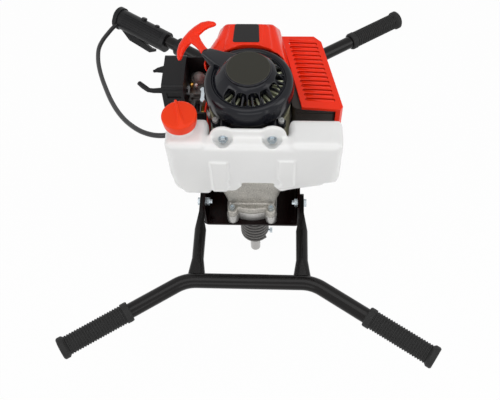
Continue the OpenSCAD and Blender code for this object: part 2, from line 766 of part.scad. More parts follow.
module crankcase() {
    color(CAST) difference() {
        union() {
            translate([0, 0, case_z]) linear_extrude(10) rsq(2 * gb_top_half_w, 2 * (gb_ear_y - 6), 12);
            translate([0, 0, case_z + 10]) cylinder(r = case_r - 4, h = case_h - 20);
            translate([0, 0, fan_z - 10]) cylinder(r = fan_r, h = 10);
            for (a = [20, 70, 200, 250, 290, 340]) rotate([0, 0, a])
                translate([case_r - 8, -2.5, case_z + 10])
                cube([8, 5, case_h - 20]);
        }
        translate([0, 0, room_z]) cylinder(r = room_r, h = room_h);
        translate([0, 0, case_z - 1]) cylinder(r = crank_r + run_fit, h = case_h + 2);
        translate([0, room_r - 8, cyl_z]) rotate([-90, 0, 0]) cylinder(r = barrel_r + run_fit, h = case_r);
    }
}
barrel_y = room_r + 4;
barrel_r = 23;
module cylinder_barrel() {
    fin_t = 2.4;
    first = fan_r + 3;
    step = (cyl_end - first - fin_t) / (fin_count - 1);
    color(CAST) difference() {
        union() {
            translate([0, barrel_y, cyl_z]) rotate([-90, 0, 0])
                cylinder(r = barrel_r, h = cyl_end - barrel_y - 1);
            for (i = [0:fin_count - 1]) translate([0, first + step * i, cyl_z]) rotate([-90, 0, 0])
                linear_extrude(fin_t) rsq(2 * fin_half, 2 * fin_half, 10);
            translate([-fin_half - 8, 72, cyl_z - 14]) cube([30, 24, 28]);
            translate([fin_half - 22, 72, cyl_z - 14]) cube([30, 24, 28]);
        }
        translate([0, barrel_y - 1, cyl_z]) rotate([-90, 0, 0]) cylinder(r = barrel_r - 4, h = 52);
        translate([0, cyl_end - 12, cyl_z]) rotate([-90, 0, 0]) cylinder(r = 5 + run_fit, h = 20);
    }
}
module spark_plug() {
    color("#e8e4da") translate([0, cyl_end - 12, cyl_z]) rotate([-90, 0, 0]) {
        cylinder(r = 5, h = 12 - 1);
        translate([0, 0, 11]) cylinder(r = 5, h = 3);
    }
    color(RUBBER) translate([0, cyl_end + 2, cyl_z]) rotate([-90, 0, 0]) cylinder(r1 = 9, r2 = 7, h = 10);
}

fan_floor = 4;
lug_r = 7;
module fan_housing() {
    color("#a8a294") difference() {
        union() {
            translate([0, 0, fan_z]) cylinder(r = fan_r, h = fan_h);
            starter_screw_spots() translate([0, 0, starter_z - 24]) cylinder(r = lug_r, h = 24);
        }
        translate([0, 0, fan_z + fan_floor]) cylinder(r = fan_r - fan_wall, h = fan_h);
        translate([0, 0, fan_z - 1]) cylinder(r = crank_r + 1, h = fan_h);
        translate([-30, 30, fan_z + 12]) cube([60, 60, fan_h - 24]);
        starter_screw_spots() translate([0, 0, starter_z - 12]) cylinder(r = 2.5 + run_fit, h = 20);
    }
}
module flywheel() {
    z = fan_z + fan_floor + 4;
    color("#8d8a80") translate([0, 0, z]) {
        difference() {
            union() {
                cylinder(r = flywheel_r, h = 8);
                cylinder(r = 20, h = 22);
                for (i = [0:17]) rotate([0, 0, 20 * i]) translate([18, -1.2, 7])
                    cube([flywheel_r - 19, 2.4, 15]);
            }
            translate([0, 0, -1]) cylinder(r = crank_r + run_fit, h = 40);
        }
    }
}

// Recoil starter

screw_x = 49;
screw_y = 46;
skirt_r = 61;
module starter_screw_spots() {
    for (x = [-1, 1], y = [-1, 1]) translate([x * screw_x, y * screw_y, 0]) children();
}
module ring_profile() {
    lip = 6;
    wall = 4;
    translate([skirt_r - wall, starter_z]) square([wall, ring_rise - lip]);
    polygon([[skirt_r - wall, ring_z - 4 * lip], [skirt_r, ring_z - 4 * lip], [ring_r, ring_z - 2.5 * lip],
        [ring_r, ring_z - lip], [skirt_r - wall, ring_z - lip]]);
    translate([ring_r - ring_w, ring_z - lip - 1]) square([ring_w - lip, lip + 1]);
    translate([ring_r - lip, ring_z - lip]) intersection() {
        circle(r = lip);
        translate([-1, -1]) square(lip + 1);
    }
    translate([ring_r - ring_w, ring_z - 2 * lip]) square([3, 2 * lip - 1]);
}
module pull_line() {
    translate([reel_r * cos(pull_a + 90), reel_r * sin(pull_a + 90), rope_z]) rotate([0, 0, pull_a])
        children();
}
rope_z = ring_z - 4;
lug_h = 8;
tank_bolt_len = 18;
ear_t = 6;
outlet_r = 8;
rib_drop = 9;
window_count = 12;
module starter_cover() {
    rib_t = 2.6;
    color(DARK) difference() {
        union() {
            rotate_extrude($fn = 96) ring_profile();
            rotate_extrude() {
                translate([hub_r - 3, ring_z - rib_drop]) square([3, hub_rise + rib_drop - 3]);
                translate([0, hub_z - 3]) square([hub_r - 2, 3]);
                translate([hub_r - 2, hub_z - 3]) intersection() { circle(r = 2); square(3); }
            }
            for (i = [0:rib_count - 1]) rotate([0, 0, 360 * (i + 0.5) / rib_count])
                translate([0, rib_t / 2, 0])
                rotate([90, 0, 0]) linear_extrude(rib_t)
                    polygon([[hub_r - 1, ring_z - rib_drop], [ring_r - ring_w + 1, ring_z - rib_drop],
                        [ring_r - ring_w + 1, ring_z - 1], [hub_r - 1, ring_z + 8]]);
            starter_screw_spots() translate([0, 0, starter_z]) cylinder(r = lug_r, h = lug_h);
            for (x = [-1, 1]) translate([x * tank_bolt_x, -skirt_r / 2, plate_z + tank_bolt_z])
                rotate([90, 0, 0])
                cylinder(r = lug_r, h = -tank_back - gap - skirt_r / 2);
            pull_line() translate([outlet_t - 34, 0, 0]) rotate([0, 90, 0]) cylinder(r = outlet_r, h = 34);
        }
        for (i = [0:window_count - 1]) rotate([0, 0, 360 * i / window_count])
            translate([hub_r - 10, 0, ring_z + 4])
            rotate([0, 90, 0]) cylinder(r = 4.5, h = 20);
        starter_screw_spots() translate([0, 0, starter_z - 1]) cylinder(r = 2.5 + gap, h = 30);
        translate([0, 0, starter_z - 1]) cylinder(r = skirt_r - 4, h = ring_rise - 18);
        for (x = [-1, 1]) translate([x * tank_bolt_x, tank_back + tank_bolt_len, plate_z + tank_bolt_z])
            rotate([90, 0, 0])
            cylinder(r = 3 + run_fit, h = 2 * tank_bolt_len);
        pull_line() rotate([0, 90, 0]) cylinder(r = rope_d / 2 + gap, h = 2 * outlet_t);
    }
}
module starter_screws() {
    color(ZINC) starter_screw_spots() {
        translate([0, 0, starter_z - 10]) cylinder(r = 2.5, h = 10 + lug_h);
        translate([0, 0, starter_z + lug_h]) difference() {
            cylinder(r = 4.5, h = 5);
            translate([0, 0, 2]) cylinder(r = 2, h = 4, $fn = 6);
        }
    }
}
reel_h = 16;
module starter_reel() {
    z = rope_z - reel_h / 2;
    color("#8f8b6a") difference() {
        union() {
            translate([0, 0, z]) cylinder(r = reel_r + 4, h = 4);
            translate([0, 0, z]) cylinder(r = reel_r - rope_d / 2 - gap, h = reel_h);
            translate([0, 0, z + reel_h - 4]) cylinder(r = reel_r + 4, h = 4);
        }
        translate([0, 0, z - 1]) cylinder(r = 6 + run_fit, h = reel_h + 20);
    }
}
// Post that the reel turns on, hanging from the starter's hub
module reel_post() {
    z = rope_z - reel_h / 2 - 2;
    color(STEEL) {
        translate([0, 0, z + 2]) cylinder(r = 6, h = hub_z - 3 - z - 2);
        translate([0, 0, z]) cylinder(r = 9, h = 2 - gap);
        translate([0, 0, z]) cylinder(r = 6, h = 3);
    }
}
stem_len = 50;
module starter_rope() {
    color("#2b2b2b") pull_line() rotate([0, 90, 0]) cylinder(r = rope_d / 2, h = outlet_t + 2);
}
module starter_handle() {
    bar_r2 = 6.5;
    arc_R = 52;
    half_a = asin(pull_span / 2 / arc_R);
    color(RED) pull_line() translate([outlet_t + 2, 0, 0]) rotate([pull_roll, 0, 0]) difference() {
        union() {
            rotate([0, 90, 0]) cylinder(r1 = 7, r2 = 5.5, h = 10);
            translate([10, 0, 0]) rotate([0, 90, 0]) cylinder(r1 = 5.5, r2 = 7.5, h = stem_len - 10);
            translate([stem_len - arc_R, 0, 0]) rotate([0, 0, -half_a]) rotate_extrude(angle = 2 * half_a)
                translate([arc_R, 0]) circle(r = bar_r2);
            for (s = [-1, 1]) translate([stem_len - arc_R, 0, 0]) rotate([0, 0, s * half_a])
                translate([arc_R, 0, 0])
                sphere(r = bar_r2);
        }
        translate([-1, 0, 0]) rotate([0, 90, 0]) cylinder(r = rope_d / 2 + run_fit, h = 1.2);
    }
}

// Covers, exhaust

cover_x = -3;
cover_z = case_z + 12;
cover_top = case_z + cover_rise;
module cover_block(w) {
    round_r = 10;
    back_in = 10;
    translate([cover_x, 0, 0]) hull() {
        for (s = [-1, 1]) {
            translate([s * (cover_back_half - round_r - w), cover_back - round_r - w,
                cover_z - (w > 0 ? 1 : 0)])
                cylinder(r = round_r, h = cover_top - 22 - cover_z, $fn = 32);
            translate([s * (cover_front_half - round_r - w), cover_front + round_r,
                cover_z - (w > 0 ? 1 : 0)])
                cylinder(r = round_r, h = cover_top - 22 - cover_z, $fn = 32);
            translate([s * (cover_back_half - round_r - 6 - w), cover_back - round_r - back_in - w,
                cover_top - round_r - w])
                sphere(r = round_r, $fn = 32);
            translate([s * (cover_front_half - round_r - 6 - w), cover_front + round_r,
                cover_top - round_r - w])
                sphere(r = round_r, $fn = 32);
        }
    }
}
module engine_cover() {
    boss_r = 6;
    skirt_z = plate_z + 170;
    skirt_h = 65;
    side_y = 62;
    color(RED) difference() {
        union() {
            difference() {
                cover_block(0);
                cover_block(cover_wall);
                translate([-100, cover_front - 30, cover_z - 2]) cube([200, 34, cover_top - cover_z + 20]);
                translate([0, 0, cover_z - 2]) cylinder(r = ring_r + 1, h = 300);
            }
            for (s = [-1, 1]) translate([s * 30, cyl_end, cyl_z + 28]) rotate([-90, 0, 0])
                cylinder(r = boss_r, h = cover_back - cyl_end - 1);
            translate([0, 0, skirt_z]) linear_extrude(skirt_h) polygon([[-66, 54], [-71, -6],
                [-65.2, -24.4], [-63.2, -23], [-68.4, -5.5], [-63, 54]]);
            hull() for (s = [-1, 1]) {
                translate([cover_x + s * 24, cover_back - 25, cover_top - 4])
                    cylinder(r1 = 10, r2 = 6, h = 7, $fn = 32);
                translate([cover_x + s * 30, cover_front + 24, cover_top - 4])
                    cylinder(r1 = 10, r2 = 6, h = 7, $fn = 32);
            }
        }
        translate([0, 0, skirt_z + skirt_h + 5]) cylinder(r = ring_r + 1, h = 200);
        pull_line() translate([20, 0, 0]) rotate([0, 90, 0]) cylinder(r = outlet_r + 1, h = outlet_t);
        translate([-cover_front_half - 10, side_y, cyl_z - 20]) cube([30, 46, 60]);
        translate([cover_front_half - 20, side_y, cyl_z - 20]) cube([30, 46, 60]);
        for (i = [0:4]) translate([-30 + 15 * i, cover_back - 10, cyl_z]) rotate([-90, 0, 0])
            cylinder(r = 5, h = 30);
    }
}

function guard_plan(w) = [[48 + w, 134 - w], [100 - 0.4 * w, 134 - w], [112 - w, 122 - 0.4 * w],
    [142 - w, -14], [138 - w, -20 + w], [80 + w, -16 + w]];
function guard_left(y) = 48 + (134 - y) * 32 / 150;
function guard_right(y) = 112 + (122 - y) * 30 / 136;
module guard_slot_spots() {
    y0 = 0;
    y1 = 118;
    for (i = [0:guard_slots - 1]) let (y = y0 + (y1 - y0) * i / (guard_slots - 1))
        translate([(guard_left(y) + guard_right(y)) / 2, y, 0]) rotate([0, 0, -3])
            children();
}
module guard_slot(w, h) {
    translate([0, 0, -1]) linear_extrude(h) {
        square([w, 5.6], center = true);
        for (s = [-1, 1]) translate([s * w / 2, 0]) circle(r = 2.8);
    }
}
module muffler_guard() {
    z = plate_z + guard_top;
    color(RED) difference() {
        translate([0, 0, z - guard_h]) linear_extrude(guard_h) polygon(guard_plan(0));
        translate([0, 0, z - guard_h - guard_wall]) linear_extrude(guard_h) polygon(guard_plan(guard_wall));
        guard_slot_spots() translate([0, 0, z - guard_wall - 1]) guard_slot(40, guard_wall + 4);
        translate([40, -40, z - guard_h - 1]) cube([91, 60, guard_h - 4]);
        translate([40, 19, z - guard_h - 1]) cube([60, 131, guard_h - 4]);
    }
}
muffler_wall = 2;
module muffler_box(low, top, w) {
    hull() for (p = [[94, 112], [66, 112], [126, -4], [75, -4]])
        translate([p.x, p.y, low + w]) cylinder(r = 10 - w, h = top - low - 2 * w, $fn = 32);
}
module muffler() {
    top = plate_z + guard_top - guard_wall - 3;
    low = plate_z + 146;
    color("#2c2522") difference() {
        union() {
            difference() {
                muffler_box(low, top, 0);
                muffler_box(low, top, muffler_wall);
            }
            translate([fin_half + 8, 74, cyl_z - 13]) cube([16, 20, 26]);
            for (y = [8, 100]) translate([guard_left(y) + 30, y, top - 1]) cylinder(r = 4, h = 4);
        }
        translate([60, -16, top - 11]) cube([90, 3, 1.6]);
    }
}

// Intake

module carburettor() {
    color("#5a5a5a") difference() {
        union() {
            translate([-100, 66, cyl_z - 16]) cube([34, 44, 40]);
            translate([-106, 72, cyl_z + 23]) cube([36, 48, 9]);
            translate([filter_right, 84, cyl_z]) rotate([0, 90, 0])
                cylinder(r = 11, h = 0.5 - 100 - filter_right);
        }
        translate([lever_x, lever_y, lever_z - lever_shaft - 1])
            cylinder(r = 2 + run_fit, h = lever_shaft + 2);
    }
}
module intake_insulator() {
    color("#1d1d1d") translate([-66, 70, cyl_z - 16]) cube([66 - fin_half - 8, 28, 32]);
}
module carb_fittings() {
    color(BRASS) {
        translate([-84, 66, cyl_z + 4]) rotate([90, 0, 0]) cylinder(r = 4, h = 12);
        translate([-73, 66, cyl_z + 4]) rotate([90, 0, 0]) cylinder(r = 3.5, h = 12);
    }
}
lever_x = -83;
lever_y = 80;
lever_z = cyl_z + 32;
lever_shaft = 12;
module throttle_lever() {
    color(ZINC) translate([lever_x, lever_y, lever_z + gap]) {
        translate([0, 0, -lever_shaft]) cylinder(r = 2, h = lever_shaft + 1);
        linear_extrude(2.5) {
            circle(r = 5);
            translate([-3, -22]) square([6, 22]);
            translate([0, -22]) circle(r = 4);
        }
    }
}
bulb_r = 12;
module primer_bulb() {
    color("#d8d8d2") translate([-92, 105, lever_z]) {
        cylinder(r = bulb_r, h = 3);
        translate([0, 0, 3]) intersection() {
            sphere(r = bulb_r - 1);
            cylinder(r = bulb_r, h = bulb_r);
        }
    }
}
fz0 = plate_z + filter_low;
fz1 = plate_z + filter_top;
base_t = 5;
choke_y = 74;
choke_z = plate_z + 190;
choke_r = 3;
module filter_base() {
    color(BLACK) difference() {
        translate([filter_right - base_t, (filter_front + filter_back) / 2, (fz0 + fz1) / 2])
            rotate([90, 0, 90])
            linear_extrude(base_t) rsq(filter_back - filter_front, fz1 - fz0, 8);
        translate([filter_right - base_t - 1, choke_y, choke_z]) rotate([0, 90, 0])
            cylinder(r = choke_r + run_fit, h = base_t + 2);
        translate([filter_right - base_t - 1, 84, cyl_z]) rotate([0, 90, 0])
            cylinder(r = 9, h = base_t + 2);
    }
}
module filter_cover() {
    depth = filter_right - base_t - filter_left;
    color(BLACK) difference() {
        union() {
            translate([filter_left, (filter_front + filter_back) / 2, (fz0 + fz1) / 2]) rotate([90, 0, 90])
                linear_extrude(depth) rsq(filter_back - filter_front, fz1 - fz0, 8);
            translate([filter_left - 24, 112, plate_z + 196]) rotate([0, 90, 0])
                cylinder(r1 = 2, r2 = 4, h = 25);
        }
        translate([filter_left + filter_wall, (filter_front + filter_back) / 2, (fz0 + fz1) / 2])
            rotate([90, 0, 90])
            linear_extrude(depth)
                rsq(filter_back - filter_front - 2 * filter_wall, fz1 - fz0 - 2 * filter_wall, 6);
        translate([filter_left - 1, choke_y, choke_z]) rotate([0, 90, 0]) cylinder(r = choke_r + 1, h = 10);
        translate([filter_left + 8, filter_front - 1, fz1 - 26]) cube([depth, 3, 14]);
    }
}
module filter_element() {
    color("#3b3b34") translate([filter_left + 10, (filter_front + filter_back) / 2, (fz0 + fz1) / 2 - 20])
        rotate([90, 0, 90]) linear_extrude(filter_right - base_t - filter_left - 10)
            rsq(filter_back - filter_front - 2 * filter_wall - 2, fz1 - fz0 - 2 * filter_wall - 40, 6);
}
module choke_lever() {
    tip = [filter_left - 44, choke_y + 12, choke_z + 4];
    color(BLACK) {
        translate([filter_left - 26, choke_y, choke_z]) rotate([0, 90, 0])
            cylinder(r = choke_r, h = filter_right - filter_left + 26 + 2);
        translate([filter_left - 26, choke_y, choke_z]) sphere(r = choke_r);
        hull() {
            translate([filter_left - 26, choke_y, choke_z]) sphere(r = choke_r, $fn = 20);
            translate(tip) sphere(r = choke_r + 0.4, $fn = 20);
        }
    }
}

// Fuel tank

tz0 = plate_z + tank_low;
tz1 = plate_z + tank_top;
ear_r = 17;
scoop_x = 62;
notch_x = 14;
notch_half = 25;
notch_h = 36;
pocket_r = 15;
// Outer form, drawn in by w: a middle slab and two deeper wings
module tank_body(w) {
    r = tank_round - w;
    deep = 3 * tank_round - tank_front;
    difference() {
        union() {
            soft_box([tank_left + 20 + w, tank_front + w, tz0 + 8 + w],
                [tank_right - 20 - w, tank_back - w, tz1 - 4 - w], r);
            soft_box([tank_left + w, tank_front + w, tz0 + w],
                [-screw_x - lug_r - 2 - w, wing_back - w, tz1 - w], r);
            soft_box([scoop_x - 2 + w, tank_front + w, tz0 + 14 + w], [tank_right - w, wing_back - w,
                tz1 - w], r);
        }
        translate([notch_x, 0, tz0]) rotate([90, 0, 0]) linear_extrude(deep)
            rsq(2 * (notch_half + w), 2 * (notch_h + w), 10 + w);
        translate([0, 0, tz0]) rotate([90, 0, 0]) linear_extrude(deep)
            polygon([[tank_left - 5, 62 + 2.2 * w], [tank_left - 5, -5], [tank_left + 26 + 1.2 * w, -5]]);
        for (s = [-1, 1]) translate([s * tank_bolt_x, tank_back - ear_t - 4, plate_z + tank_bolt_z + 4])
            sphere(r = pocket_r + w);
    }
}
neck_h = 24;
module fuel_tank() {
    color("#eeeeec") difference() {
        union() {
            difference() {
                tank_body(0);
                tank_body(tank_wall);
            }
            translate([neck_x, neck_y, tz1 - 6]) cylinder(r = neck_r, h = 6 + neck_h);
            for (s = [-1, 1]) translate([s * tank_bolt_x, tank_back, plate_z + tank_bolt_z])
                rotate([90, 0, 0]) {
                cylinder(r = ear_r, h = ear_t);
                translate([-ear_r, -24, 0]) cube([2 * ear_r, 24, ear_t]);
            }
        }
        translate([neck_x, neck_y, tz1 - 10]) cylinder(r = neck_r - 3, h = neck_h + 12);
        for (s = [-1, 1]) translate([s * tank_bolt_x, tank_back + 1, plate_z + tank_bolt_z])
            rotate([90, 0, 0]) {
            cylinder(r = 3 + gap, h = ear_t + 2);
        }
    }
}
module tank_bolts() {
    color(ZINC) for (s = [-1, 1]) translate([s * tank_bolt_x, tank_back - ear_t, plate_z + tank_bolt_z])
        rotate([90, 0, 0]) {
        translate([0, 0, -ear_t - tank_bolt_len + 1]) cylinder(r = 3, h = ear_t + tank_bolt_len - 1);
        cylinder(r = 7.5, h = 1.6);
        translate([0, 0, 1.6]) difference() {
            hex_head(5.6, 4.4);
            translate([-6, -0.7, 3]) cube([12, 1.4, 3]);
        }
    }
}
cap_z = tz1 + neck_h;
module cap_gasket() {
    color(RUBBER) translate([neck_x, neck_y, cap_z]) difference() {
        cylinder(r = neck_r, h = 2);
        translate([0, 0, -1]) cylinder(r = neck_r - 3, h = 4);
    }
}
module fuel_cap() {
    low = cap_z + 2 + 4 - cap_h;
    top = cap_z + 2 + 4;
    color(RED) translate([neck_x, neck_y, 0]) {
        difference() {
            union() {
                translate([0, 0, low]) cylinder(r1 = cap_r - 1, r2 = cap_r, h = cap_h - 2);
                translate([0, 0, top - 2]) cylinder(r1 = cap_r, r2 = cap_r - 2, h = 2);
            }
            translate([0, 0, low - 1]) cylinder(r = neck_r + gap, h = cap_h - 4 + 1);
        }
        translate([0, 0, top]) rotate([0, 0, -70]) translate([0, 3, 0]) rotate([90, 0, 0]) linear_extrude(6)
            polygon([[-cap_r + 3, 0], [cap_r - 3, 0], [cap_r - 7, 6], [-cap_r + 7, 6]]);
    }
}

base_plate();
front_bar();
rear_bar();
front_left_arm();
front_right_arm();
rear_left_arm();
rear_right_arm();
arm_bolts();
front_left_grip();
front_right_grip();
rear_right_grip();
throttle_top();
throttle_bottom();
throttle_trigger();
trigger_pin();
trigger_lockout();
stop_switch();
throttle_cable();
gearbox_cover();
gearbox_housing();
gearbox_screws();
output_shaft();
layshaft();
input_pinion();
pinion_bearing();
oil_seal();
clutch_drum();
shock_spring();
spring_hub();
drill_shaft();
spring_stop();
clutch_shoes();
crankshaft();
crankcase();
cylinder_barrel();
spark_plug();
fan_housing();
flywheel();
starter_cover();
starter_screws();
starter_reel();
reel_post();
starter_rope();
starter_handle();
engine_cover();
muffler_guard();
muffler();
carburettor();
intake_insulator();
carb_fittings();
throttle_lever();
primer_bulb();
filter_base();
filter_cover();
filter_element();
choke_lever();
fuel_tank();
tank_bolts();
cap_gasket();
fuel_cap();
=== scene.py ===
import math

import bmesh
import bpy
from mathutils import Matrix, Vector


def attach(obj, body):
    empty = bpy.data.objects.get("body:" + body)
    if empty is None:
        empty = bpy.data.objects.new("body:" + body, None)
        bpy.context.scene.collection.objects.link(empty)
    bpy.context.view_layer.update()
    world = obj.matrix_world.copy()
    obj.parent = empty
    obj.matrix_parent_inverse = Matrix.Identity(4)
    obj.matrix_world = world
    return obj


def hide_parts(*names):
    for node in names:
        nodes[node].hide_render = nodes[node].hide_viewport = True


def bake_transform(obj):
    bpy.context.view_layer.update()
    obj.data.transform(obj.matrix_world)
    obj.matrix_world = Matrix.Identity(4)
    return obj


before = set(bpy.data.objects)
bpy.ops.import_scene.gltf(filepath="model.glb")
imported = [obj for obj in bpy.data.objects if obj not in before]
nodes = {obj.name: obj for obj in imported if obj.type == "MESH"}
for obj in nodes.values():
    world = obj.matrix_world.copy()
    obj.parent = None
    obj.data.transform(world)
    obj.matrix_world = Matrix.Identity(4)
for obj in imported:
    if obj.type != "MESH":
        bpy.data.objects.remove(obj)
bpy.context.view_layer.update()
scene = bpy.context.scene
plateZ = 0.150  # underside of the base plate, in the part's frame
print("frame loaded:", len(nodes), "nodes")


# camera

cameraView = {
    "place": (0.0464, -0.6831, 1.1957),
    "pitch": 57.59,  # degrees below the horizon
    "yaw": 4.48,
    "roll": -2.91,
    "lens": 48.62,
}


def placeCamera():
    pitch = math.radians(cameraView["pitch"])
    roll = math.radians(cameraView["roll"])
    turn = Matrix.Rotation(math.radians(cameraView["yaw"]), 3, "Z")
    ahead = turn @ Vector((0, math.cos(pitch), -math.sin(pitch)))
    up = turn @ Vector((0, math.sin(pitch), math.cos(pitch)))
    right = turn @ Vector((1, 0, 0))
    across = math.cos(roll) * right + math.sin(roll) * up
    upright = -math.sin(roll) * right + math.cos(roll) * up
    data = bpy.data.cameras.new("camera")
    data.lens = cameraView["lens"]
    data.sensor_width = 36
    data.clip_start = 0.01
    data.clip_end = 50
    camera = bpy.data.objects.new("camera", data)
    scene.collection.objects.link(camera)
    camera.matrix_world = Matrix((
        (across.x, upright.x, -ahead.x, cameraView["place"][0]),
        (across.y, upright.y, -ahead.y, cameraView["place"][1]),
        (across.z, upright.z, -ahead.z, cameraView["place"][2]),
        (0, 0, 0, 1),
    ))
    scene.camera = camera


placeCamera()


# shader maths

class Wire:  # a shader socket that takes part in sums
    def __init__(self, paint, socket):
        self.paint = paint
        self.socket = socket

    def math(self, operation, first, second):
        return self.paint.node("ShaderNodeMath", {"operation": operation}, {0: first, 1: second})

    def __add__(self, other):
        return self.math("ADD", self, other)

    def __radd__(self, other):
        return self.math("ADD", other, self)

    def __sub__(self, other):
        return self.math("SUBTRACT", self, other)

    def __rsub__(self, other):
        return self.math("SUBTRACT", other, self)

    def __mul__(self, other):
        return self.math("MULTIPLY", self, other)

    def __rmul__(self, other):
        return self.math("MULTIPLY", other, self)

    def __gt__(self, other):
        return self.math("GREATER_THAN", self, other)

    def __lt__(self, other):
        return self.math("LESS_THAN", self, other)

    def clamped(self):
        return self.paint.node("ShaderNodeClamp", {}, {"Value": self})


class Paint:  # one material and the nodes that make it
    def __init__(self, name):
        self.material = bpy.data.materials.new(name)
        self.material.use_nodes = True
        self.tree = self.material.node_tree
        self.shader = self.tree.nodes["Principled BSDF"]
        self.place = None
        self.soft = None

    def node(self, kind, settings=None, inputs=None, output=0):
        made = self.tree.nodes.new(kind)
        for key, value in (settings or {}).items():
            setattr(made, key, value)
        for key, value in (inputs or {}).items():
            self.feed(made.inputs[key], value)
        return Wire(self, made.outputs[output])

    def feed(self, socket, value):
        if isinstance(value, Wire):
            self.tree.links.new(value.socket, socket)
        else:
            socket.default_value = value

    def coords(self, stretch=(1, 1, 1)):
        if self.place is None:
            self.place = self.node("ShaderNodeTexCoord", output="Object")
        if stretch == (1, 1, 1):
            return self.place
        return self.node("ShaderNodeMapping", {}, {"Vector": self.place, "Scale": stretch})

    def noise(self, scale, detail=3.0, roughness=0.55, stretch=(1, 1, 1)):
        return self.node("ShaderNodeTexNoise", {}, {
            "Vector": self.coords(stretch), "Scale": scale, "Detail": detail, "Roughness": roughness})

    def mix(self, amount, first, second):
        return self.node("ShaderNodeMix", {"data_type": "RGBA"}, {0: amount, 6: first, 7: second}, 2)

    def edges(self, radius, gain):  # 1 along sharp edges, where the finishes paint lighter edges that are partly wear and partly painted highlight; also keeps the softened normal
        self.soft = self.node("ShaderNodeBevel", {"samples": 6}, {"Radius": radius})
        flat = self.node("ShaderNodeNewGeometry", output="True Normal")
        agree = self.node("ShaderNodeVectorMath", {"operation": "DOT_PRODUCT"}, {0: self.soft, 1: flat}, 1)
        return ((1 - agree) * gain).clamped()

    def bump(self, height, strength, distance):
        inputs = {"Height": height, "Strength": strength, "Distance": distance}
        if self.soft is not None:
            inputs["Normal"] = self.soft
        return self.node("ShaderNodeBump", {}, inputs)

    def finish(self, values):
        for name, value in values.items():
            self.feed(self.shader.inputs[name], value)
        return self.material


def tint(color, factor):
    return tuple(min(1, c * factor) for c in color[:3]) + (1,)


# finishes

def mouldedPlastic(name, color, roughness, coat=0.0, grain=700, relief=0.00004, edgeLift=1.25,
                   shine=0.4):
    paint = Paint(name)
    wearAndHighlight = paint.edges(0.0008, 3.0)
    cloud = paint.noise(9, 4)
    fine = paint.noise(grain, 2)
    body = paint.mix(cloud, tint(color, 0.93), tint(color, 1.07))
    return paint.finish({
        # lighter edges, edgeLift times the colour: partly wear, partly painted highlight
        "Base Color": paint.mix(wearAndHighlight * 0.5, body, tint(color, edgeLift)),
        "Roughness": roughness + (fine - 0.5) * 0.12 + (cloud - 0.5) * 0.08,
        "Coat Weight": coat,
        "Coat Roughness": 0.08,
        "Specular IOR Level": shine,
        "Normal": paint.bump(fine, 0.35, relief),
    })


def powderCoat(name, color, shine):
    paint = Paint(name)
    wearAndHighlight = paint.edges(0.0010, 2.5)
    peel = paint.noise(420, 2)
    dust = paint.noise(14, 5)
    body = paint.mix(dust, tint(color, 0.8), tint(color, 1.3))
    return paint.finish({
        # lighter edges: partly wear, partly painted highlight
        "Base Color": paint.mix(wearAndHighlight * 0.35, body, tint(color, 3.0)),
        "Roughness": 0.2 + (peel - 0.5) * 0.1 + (dust - 0.5) * 0.1,
        "Coat Weight": 0.1,
        "Coat Roughness": 0.15,
        "Specular IOR Level": shine,
        "Normal": paint.bump(peel, 0.4, 0.00006),
    })


def rubberSkin(name, color):
    paint = Paint(name)
    wearAndHighlight = paint.edges(0.0006, 3.0)
    fine = paint.noise(900, 3)
    dust = paint.noise(22, 5)
    body = paint.mix(dust, tint(color, 0.75), tint(color, 1.6))
    return paint.finish({
        # lighter edges: partly wear, partly painted highlight
        "Base Color": paint.mix(wearAndHighlight * 0.5, body, tint(color, 3.2)),
        "Roughness": 0.62 + (fine - 0.5) * 0.2 + (dust - 0.5) * 0.15,
        "Specular IOR Level": 0.28,
        "Normal": paint.bump(fine, 0.5, 0.00008),
    })


def castMetal(name, color, grain, relief, roughness):
    paint = Paint(name)
    wearAndHighlight = paint.edges(0.0014, 2.2)
    sand = paint.noise(grain, 4, 0.65)
    cloud = paint.noise(26, 5)
    grit = ((sand - 0.5) * 2.6 + (cloud - 0.5) * 1.2 + 0.5).clamped()
    body = paint.mix(grit, tint(color, 0.5), tint(color, 1.2))
    return paint.finish({
        # lighter edges: partly wear, partly painted highlight
        "Base Color": paint.mix(wearAndHighlight * 0.8, body, tint(color, 1.5)),
        "Metallic": 0.75,
        "Roughness": roughness + (sand - 0.5) * 0.25 - wearAndHighlight * 0.12,
        "Normal": paint.bump(sand, 0.8, relief),
    })


def platedSteel(name, color, roughness, stretch=(1, 1, 1), metal=1.0):
    paint = Paint(name)
    wearAndHighlight = paint.edges(0.0004, 2.0)
    cloud = paint.noise(60, 4, 0.6, stretch)
    fine = paint.noise(1500, 2, 0.5, stretch)
    body = paint.mix(cloud, tint(color, 0.8), tint(color, 1.12))
    return paint.finish({
        # lighter edges: partly wear, partly painted highlight
        "Base Color": paint.mix(wearAndHighlight * 0.6, body, tint(color, 1.35)),
        "Metallic": metal,
        "Roughness": roughness + (cloud - 0.5) * 0.16,
        "Normal": paint.bump(fine, 0.2, 0.00003),
    })


def coiledWire(name, color, roughness):  # painted highlight on the crests and painted shade in the gaps between the coils
    paint = Paint(name)
    cloud = paint.noise(60, 4)
    axes = paint.node("ShaderNodeSeparateXYZ", {}, {"Vector": paint.coords()})
    x, y = (Wire(paint, axes.socket.node.outputs[i]) for i in range(2))
    gapReach, crestReach = 0.0264, 0.0282  # from the spring's axis
    litCrest = ((x * x + y * y - gapReach ** 2) * (1 / (crestReach ** 2 - gapReach ** 2))).clamped()
    # painted shade in the gaps (0.1 of the colour) and painted highlight on the crests (2.6 of it)
    body = paint.mix(litCrest, tint(color, 0.1), tint(color, 2.6))
    return paint.finish({
        "Base Color": paint.mix(cloud * 0.3, body, tint(color, 0.5)),
        "Metallic": 0.35,
        "Roughness": roughness + (cloud - 0.5) * 0.16,
    })


